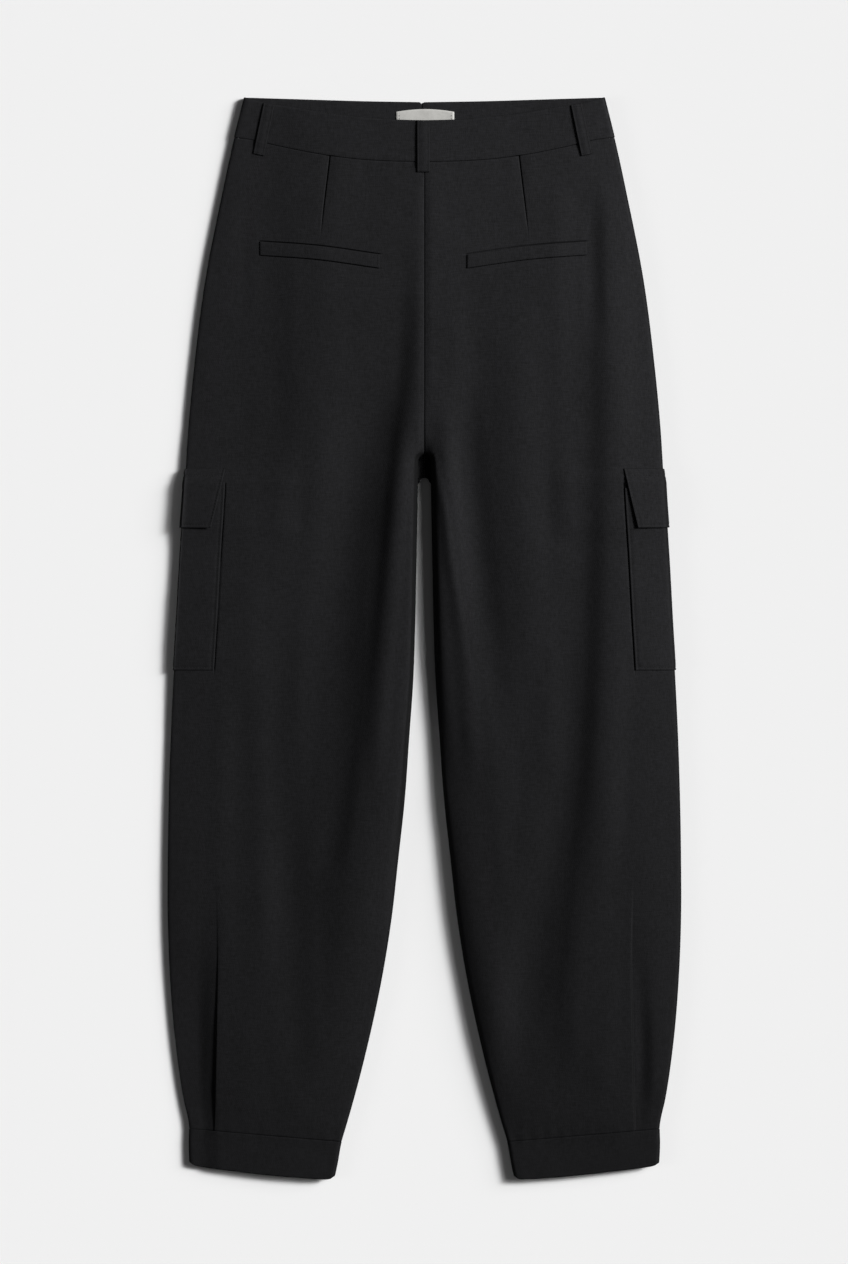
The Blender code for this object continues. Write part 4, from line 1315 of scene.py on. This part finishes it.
def add_node(material, kind, settings=None, **inputs):
    """Adds a node with its settings. An input is a value, or a socket to link from."""
    tree = material.node_tree
    node = tree.nodes.new(kind)
    for key, value in (settings or {}).items():
        setattr(node, key, value)
    for key, value in inputs.items():
        socket = node.inputs[int(key[1:])] if key[0] == "_" else node.inputs[key.replace("_", " ")]
        if isinstance(value, bpy.types.NodeSocket):
            tree.links.new(value, socket)
        else:
            socket.default_value = value
    return node


def new_material(name):
    material = bpy.data.materials.new(name)
    material.use_nodes = True
    material.node_tree.nodes.clear()
    return material


TWILL_SPACING = 1.9  # mm between ribs; the real cloth has about 0.6, drawn coarser so that it shows
TWILL_STEEPNESS = np.radians(-27)
YARN_WIDTH = 1.1  # mm across the pale and dark flecks of the yarn, real ones are about 0.4
FLECK_LENGTH = 7.0
PATCH_SHARE = 0.35  # of broad unevenness beside the flecks
FLECK_DARK = 0.85  # sums of the flecks and the unevenness that give the two colours
FLECK_PALE = 1.5
RIB_SHARE = 0.5  # of the ribs' height beside the flecks'

# The cloth's tone at the garment's centre, and how much paler it is painted in a metre to the waist: painted
# light, which weakens from the upper right towards the hems
TONE_CENTRE = 0.685
PAINTED_LIGHT_TO_WAIST = 0.34
RIGHT_PAINTED_LIGHT = 0.16  # painted light: the right leg's cloth is paler by this share, as it is lit more from the right
RIGHT_PAINTED_LIGHT_START = -0.20
RIGHT_PAINTED_LIGHT_FULL = 0.15
SEAM_BLUR = 0.003
EDGE_PAINTED_SHADE = 0.3  # painted shade: the colour falls to this share where the cloth stands upright at an edge
EDGE_UPRIGHT = 0.6
EDGE_LEVEL = 0.97


def cloth_tone_with_painted_light(cloth, place_of):
    """Painted light on the twill's colour: paler at the seat, the more so on the right, as lit from the upper
    right; and painted shade, darker where it turns over an edge.
    """
    along = add_node(cloth, "ShaderNodeSeparateXYZ", Vector=place_of)
    # painted light: the colour gets paler towards the waist, where the light is stronger
    painted_light_to_waist = add_node(
        cloth,
        "ShaderNodeMath",
        {"operation": "MULTIPLY_ADD"},
        _0=along.outputs["Y"],
        _1=PAINTED_LIGHT_TO_WAIST,
        _2=TONE_CENTRE,
    )
    # painted light: the right leg paler, fully so at the seat and fading out below it
    right_painted_light = add_node(
        cloth,
        "ShaderNodeMapRange",
        _0=along.outputs["X"],
        _1=-SEAM_BLUR,
        _2=SEAM_BLUR,
        _3=0.0,
        _4=RIGHT_PAINTED_LIGHT,
    )
    seat_painted_light = add_node(
        cloth,
        "ShaderNodeMapRange",
        {"interpolation_type": "SMOOTHSTEP"},
        _0=along.outputs["Y"],
        _1=RIGHT_PAINTED_LIGHT_START,
        _2=RIGHT_PAINTED_LIGHT_FULL,
    )
    painted_light_gain = add_node(
        cloth,
        "ShaderNodeMath",
        {"operation": "MULTIPLY_ADD"},
        _0=right_painted_light.outputs["Result"],
        _1=seat_painted_light.outputs["Result"],
        _2=1.0,
    )
    tone_and_painted_light = add_node(
        cloth,
        "ShaderNodeMath",
        {"operation": "MULTIPLY"},
        _0=painted_light_to_waist.outputs["Value"],
        _1=painted_light_gain.outputs["Value"],
    )
    facing = add_node(cloth, "ShaderNodeTexCoord").outputs["Normal"]
    upright = add_node(cloth, "ShaderNodeSeparateXYZ", Vector=facing)
    level = add_node(cloth, "ShaderNodeMath", {"operation": "ABSOLUTE"}, _0=upright.outputs["Z"])
    # painted shade: darker where the cloth stands upright at an edge
    edge = add_node(
        cloth,
        "ShaderNodeMapRange",
        {"interpolation_type": "SMOOTHSTEP"},
        _0=level.outputs["Value"],
        _1=EDGE_UPRIGHT,
        _2=EDGE_LEVEL,
        _3=EDGE_PAINTED_SHADE,
        _4=1.0,
    )
    return add_node(
        cloth,
        "ShaderNodeMath",
        {"operation": "MULTIPLY"},
        _0=tone_and_painted_light.outputs["Value"],
        _1=edge.outputs["Result"],
    ).outputs["Value"]


def suiting_twill():
    """Polyester and viscose suiting, yarn-dyed charcoal and woven as a fine steep twill: near black and
    matt, with faint ribs, pale and dark flecks along both yarns, and a little sheen at grazing light. Its
    colour also carries painted light and painted shade."""
    cloth = new_material("suiting_twill_yarn_dyed_painted_light")
    place_of = add_node(cloth, "ShaderNodeTexCoord").outputs["Object"]
    ribs_place = add_node(cloth, "ShaderNodeMapping", Vector=place_of, Rotation=(0, 0, TWILL_STEEPNESS))
    ribs = add_node(
        cloth,
        "ShaderNodeTexWave",
        {"wave_type": "BANDS", "bands_direction": "X"},
        Vector=ribs_place.outputs["Vector"],
        Scale=np.pi / 10 / (TWILL_SPACING * MM),
        Distortion=0.6,
        Detail=2.0,
        Detail_Scale=1.5,
    )
    flecks = []
    for across, along in ((YARN_WIDTH, FLECK_LENGTH), (FLECK_LENGTH, YARN_WIDTH)):
        stretched = add_node(
            cloth,
            "ShaderNodeMapping",
            Vector=place_of,
            Scale=(1 / (across * MM), 1 / (along * MM), 1 / (YARN_WIDTH * MM)),
        )
        flecks.append(
            add_node(
                cloth,
                "ShaderNodeTexNoise",
                Vector=stretched.outputs["Vector"],
                Scale=1.0,
                Detail=2.0,
                Roughness=0.6,
            ).outputs["Fac"]
        )
    melange = add_node(cloth, "ShaderNodeMath", {"operation": "ADD"}, _0=flecks[0], _1=flecks[1])
    patches = add_node(cloth, "ShaderNodeTexNoise", Vector=place_of, Scale=7.0, Detail=3.0, Roughness=0.55)
    uneven = add_node(
        cloth,
        "ShaderNodeMath",
        {"operation": "MULTIPLY_ADD"},
        _0=patches.outputs["Fac"],
        _1=PATCH_SHARE,
        _2=melange.outputs["Value"],
    )
    paleness = add_node(cloth, "ShaderNodeMapRange", _0=uneven.outputs["Value"], _1=FLECK_DARK, _2=FLECK_PALE)
    colour = add_node(
        cloth,
        "ShaderNodeMix",
        {"data_type": "RGBA"},
        Factor=paleness.outputs["Result"],
        _6=linear("#19191a"),
        _7=linear("#252527"),
    )
    # the yarn colour times the painted light and painted shade
    shade = add_node(
        cloth,
        "ShaderNodeVectorMath",
        {"operation": "SCALE"},
        _0=colour.outputs[2],
        Scale=cloth_tone_with_painted_light(cloth, place_of),
    )
    height = add_node(
        cloth,
        "ShaderNodeMath",
        {"operation": "MULTIPLY_ADD"},
        _0=ribs.outputs["Fac"],
        _1=RIB_SHARE,
        _2=melange.outputs["Value"],
    )
    bump = add_node(
        cloth, "ShaderNodeBump", Height=height.outputs["Value"], Strength=0.35, Distance=0.12 * MM
    )
    shader = add_node(
        cloth,
        "ShaderNodeBsdfPrincipled",
        Base_Color=shade.outputs["Vector"],
        Roughness=0.85,
        IOR=1.46,
        Specular_IOR_Level=0.1,
        Sheen_Weight=0.02,
        Sheen_Roughness=0.45,
        Sheen_Tint=linear("#8f9094"),
        Normal=bump.outputs["Normal"],
    )
    add_node(cloth, "ShaderNodeOutputMaterial", Surface=shader.outputs["BSDF"])
    return cloth


def core_spun_thread():
    """Core-spun polyester sewing thread, twisted: black, a touch darker than the cloth."""
    thread = new_material("core_spun_thread_twisted")
    place_of = add_node(thread, "ShaderNodeTexCoord").outputs["Object"]
    twist = add_node(thread, "ShaderNodeTexNoise", Vector=place_of, Scale=1800.0, Detail=1.0)
    bump = add_node(
        thread, "ShaderNodeBump", Height=twist.outputs["Fac"], Strength=0.5, Distance=0.05 * MM
    )
    shader = add_node(
        thread,
        "ShaderNodeBsdfPrincipled",
        Base_Color=linear("#111112"),
        Roughness=0.7,
        IOR=1.5,
        Specular_IOR_Level=0.2,
        Normal=bump.outputs["Normal"],
    )
    add_node(thread, "ShaderNodeOutputMaterial", Surface=shader.outputs["BSDF"])
    return thread


LABEL_YARN = 0.9  # mm between weft ridges; a real woven label has about 0.2, drawn coarser


def woven_satin_label():
    """Polyester satin woven label, heat cut and folded: pale warm grey, smooth with fine cross ridges."""
    woven = new_material("polyester_satin_woven_label")
    place_of = add_node(woven, "ShaderNodeTexCoord").outputs["Object"]
    weft = add_node(
        woven,
        "ShaderNodeTexWave",
        {"wave_type": "BANDS", "bands_direction": "Y"},
        Vector=place_of,
        Scale=np.pi / 10 / (LABEL_YARN * MM),
        Distortion=0.4,
        Detail=1.0,
    )
    uneven = add_node(woven, "ShaderNodeTexNoise", Vector=place_of, Scale=260.0, Detail=2.0)
    colour = add_node(
        woven,
        "ShaderNodeMix",
        {"data_type": "RGBA"},
        Factor=uneven.outputs["Fac"],
        _6=linear("#acaba7"),
        _7=linear("#c1c0bc"),
    )
    bump = add_node(
        woven, "ShaderNodeBump", Height=weft.outputs["Fac"], Strength=0.3, Distance=0.06 * MM
    )
    shader = add_node(
        woven,
        "ShaderNodeBsdfPrincipled",
        Base_Color=colour.outputs[2],
        Roughness=0.5,
        IOR=1.5,
        Specular_IOR_Level=0.4,
        Normal=bump.outputs["Normal"],
    )
    add_node(woven, "ShaderNodeOutputMaterial", Surface=shader.outputs["BSDF"])
    return woven


def matt_paper():
    """Seamless background paper, matt and nearly white."""
    paper = new_material("background_paper_matt")
    shader = add_node(
        paper,
        "ShaderNodeBsdfPrincipled",
        Base_Color=linear("#f0f0f0"),
        Roughness=0.95,
        Specular_IOR_Level=0.1,
    )
    add_node(paper, "ShaderNodeOutputMaterial", Surface=shader.outputs["BSDF"])
    return paper


# ---------------------------------------------------------------- floor, light and camera

IMAGE_HEIGHT = 1264.0  # pixels of the photograph, which are 1 mm each at the garment
IMAGE_CENTRE_DOWN = 535.4  # the image's middle, below the waist corners
CAMERA_X = -0.4
CAMERA_HEIGHT = 6.0  # metres
GARMENT_TOP = 0.012
SENSOR = 36.0
FLOOR_REACH = 3000.0


# Where each light stands: degrees from the right round towards the waist, degrees above the floor, its
# width in degrees, and its share of the light on the floor. The rest comes evenly from all round.
Lamp = namedtuple("Lamp", "name turn height spread share")
LAMPS = [
    Lamp("key_softbox", 20.0, 29.0, 13.0, 0.56),
    Lamp("key_spill", 20.0, 28.0, 36.0, 0.38),
    Lamp("left_reflector", 185.0, 24.0, 18.0, 0.03),
]
FLOOR_LIGHT = 1.0  # brightness of the lit floor, as a share of full white before its own colour


def soft_lamp(lamp):
    light = bpy.data.lights.new(lamp.name, "SUN")
    light.energy = np.pi * FLOOR_LIGHT * lamp.share / np.sin(np.radians(lamp.height))
    light.angle = np.radians(lamp.spread)
    made = bpy.data.objects.new(lamp.name, light)
    bpy.context.scene.collection.objects.link(made)
    made.rotation_euler = (0, np.radians(90 - lamp.height), np.radians(lamp.turn))


def studio():
    """A pale floor, a broad key light from the upper right and even light from all round."""
    corners = np.array([[-1, -1, 0], [1, -1, 0], [1, 1, 0], [-1, 1, 0]]) * FLOOR_REACH - [0, 0, SEAM_GAP]
    floor = mesh_object("floor", corners, np.array([[0, 1, 2, 3]]), matt_paper())
    for lamp in LAMPS:
        soft_lamp(lamp)
    world = bpy.data.worlds.new("studio")
    bpy.context.scene.world = world
    world.use_nodes = True
    background = world.node_tree.nodes["Background"]
    background.inputs["Color"].default_value = (1, 1, 1, 1)
    background.inputs["Strength"].default_value = FLOOR_LIGHT * (1 - sum(lamp.share for lamp in LAMPS))
    camera = bpy.data.cameras.new("camera")
    camera.sensor_width = SENSOR
    camera.lens = SENSOR * (CAMERA_HEIGHT - GARMENT_TOP) / (IMAGE_HEIGHT * MM)
    made = bpy.data.objects.new("camera", camera)
    bpy.context.scene.collection.objects.link(made)
    made.location = (CAMERA_X * MM, (LENGTH / 2 - IMAGE_CENTRE_DOWN) * MM, CAMERA_HEIGHT)
    bpy.context.scene.camera = made
    bpy.context.scene.view_settings.view_transform = "Standard"


# ---------------------------------------------------------------- the garment


# What shows of each piece, laid flat in metres: its box, and its area where it doesn't fill the box
Cut = namedtuple("Cut", "flat area")


def dress(piece, node):
    """The piece stands for its solid: it goes with the garment, and the solid is hidden."""
    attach(piece, "root")
    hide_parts(node)


def dress_side(side, name, cloth, thread):
    """The pieces of one leg and its half of the far waistband."""
    front = front_panel(side, name, cloth)
    dress(front, f"front_{name}_panel")
    back = back_panel(side, name, cloth)
    dress(back, f"back_{name}_panel")
    dress(front_waistband(side, name, cloth), f"front_waistband_{name}")
    pocket = cargo_pocket(side, name, cloth, thread)
    dress(pocket, f"cargo_pocket_{name}")
    dress(cargo_flap(side, name, cloth, thread), f"cargo_flap_{name}")
    dress(hem_cuff(side, name, cloth), f"hem_cuff_{name}")
    dress(welt(side, name, cloth, thread), f"welt_{name}")


def main():
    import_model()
    cloth = suiting_twill()
    thread = core_spun_thread()
    band = back_waistband(cloth)
    dress(band, "back_waistband")
    for side, name in SIDES:
        dress_side(side, name, cloth, thread)
    for loop in LOOPS:
        dress(belt_loop(loop, cloth, thread), loop.name)
    woven = label(woven_satin_label(), thread)
    dress(woven, "label")
    studio()


main()
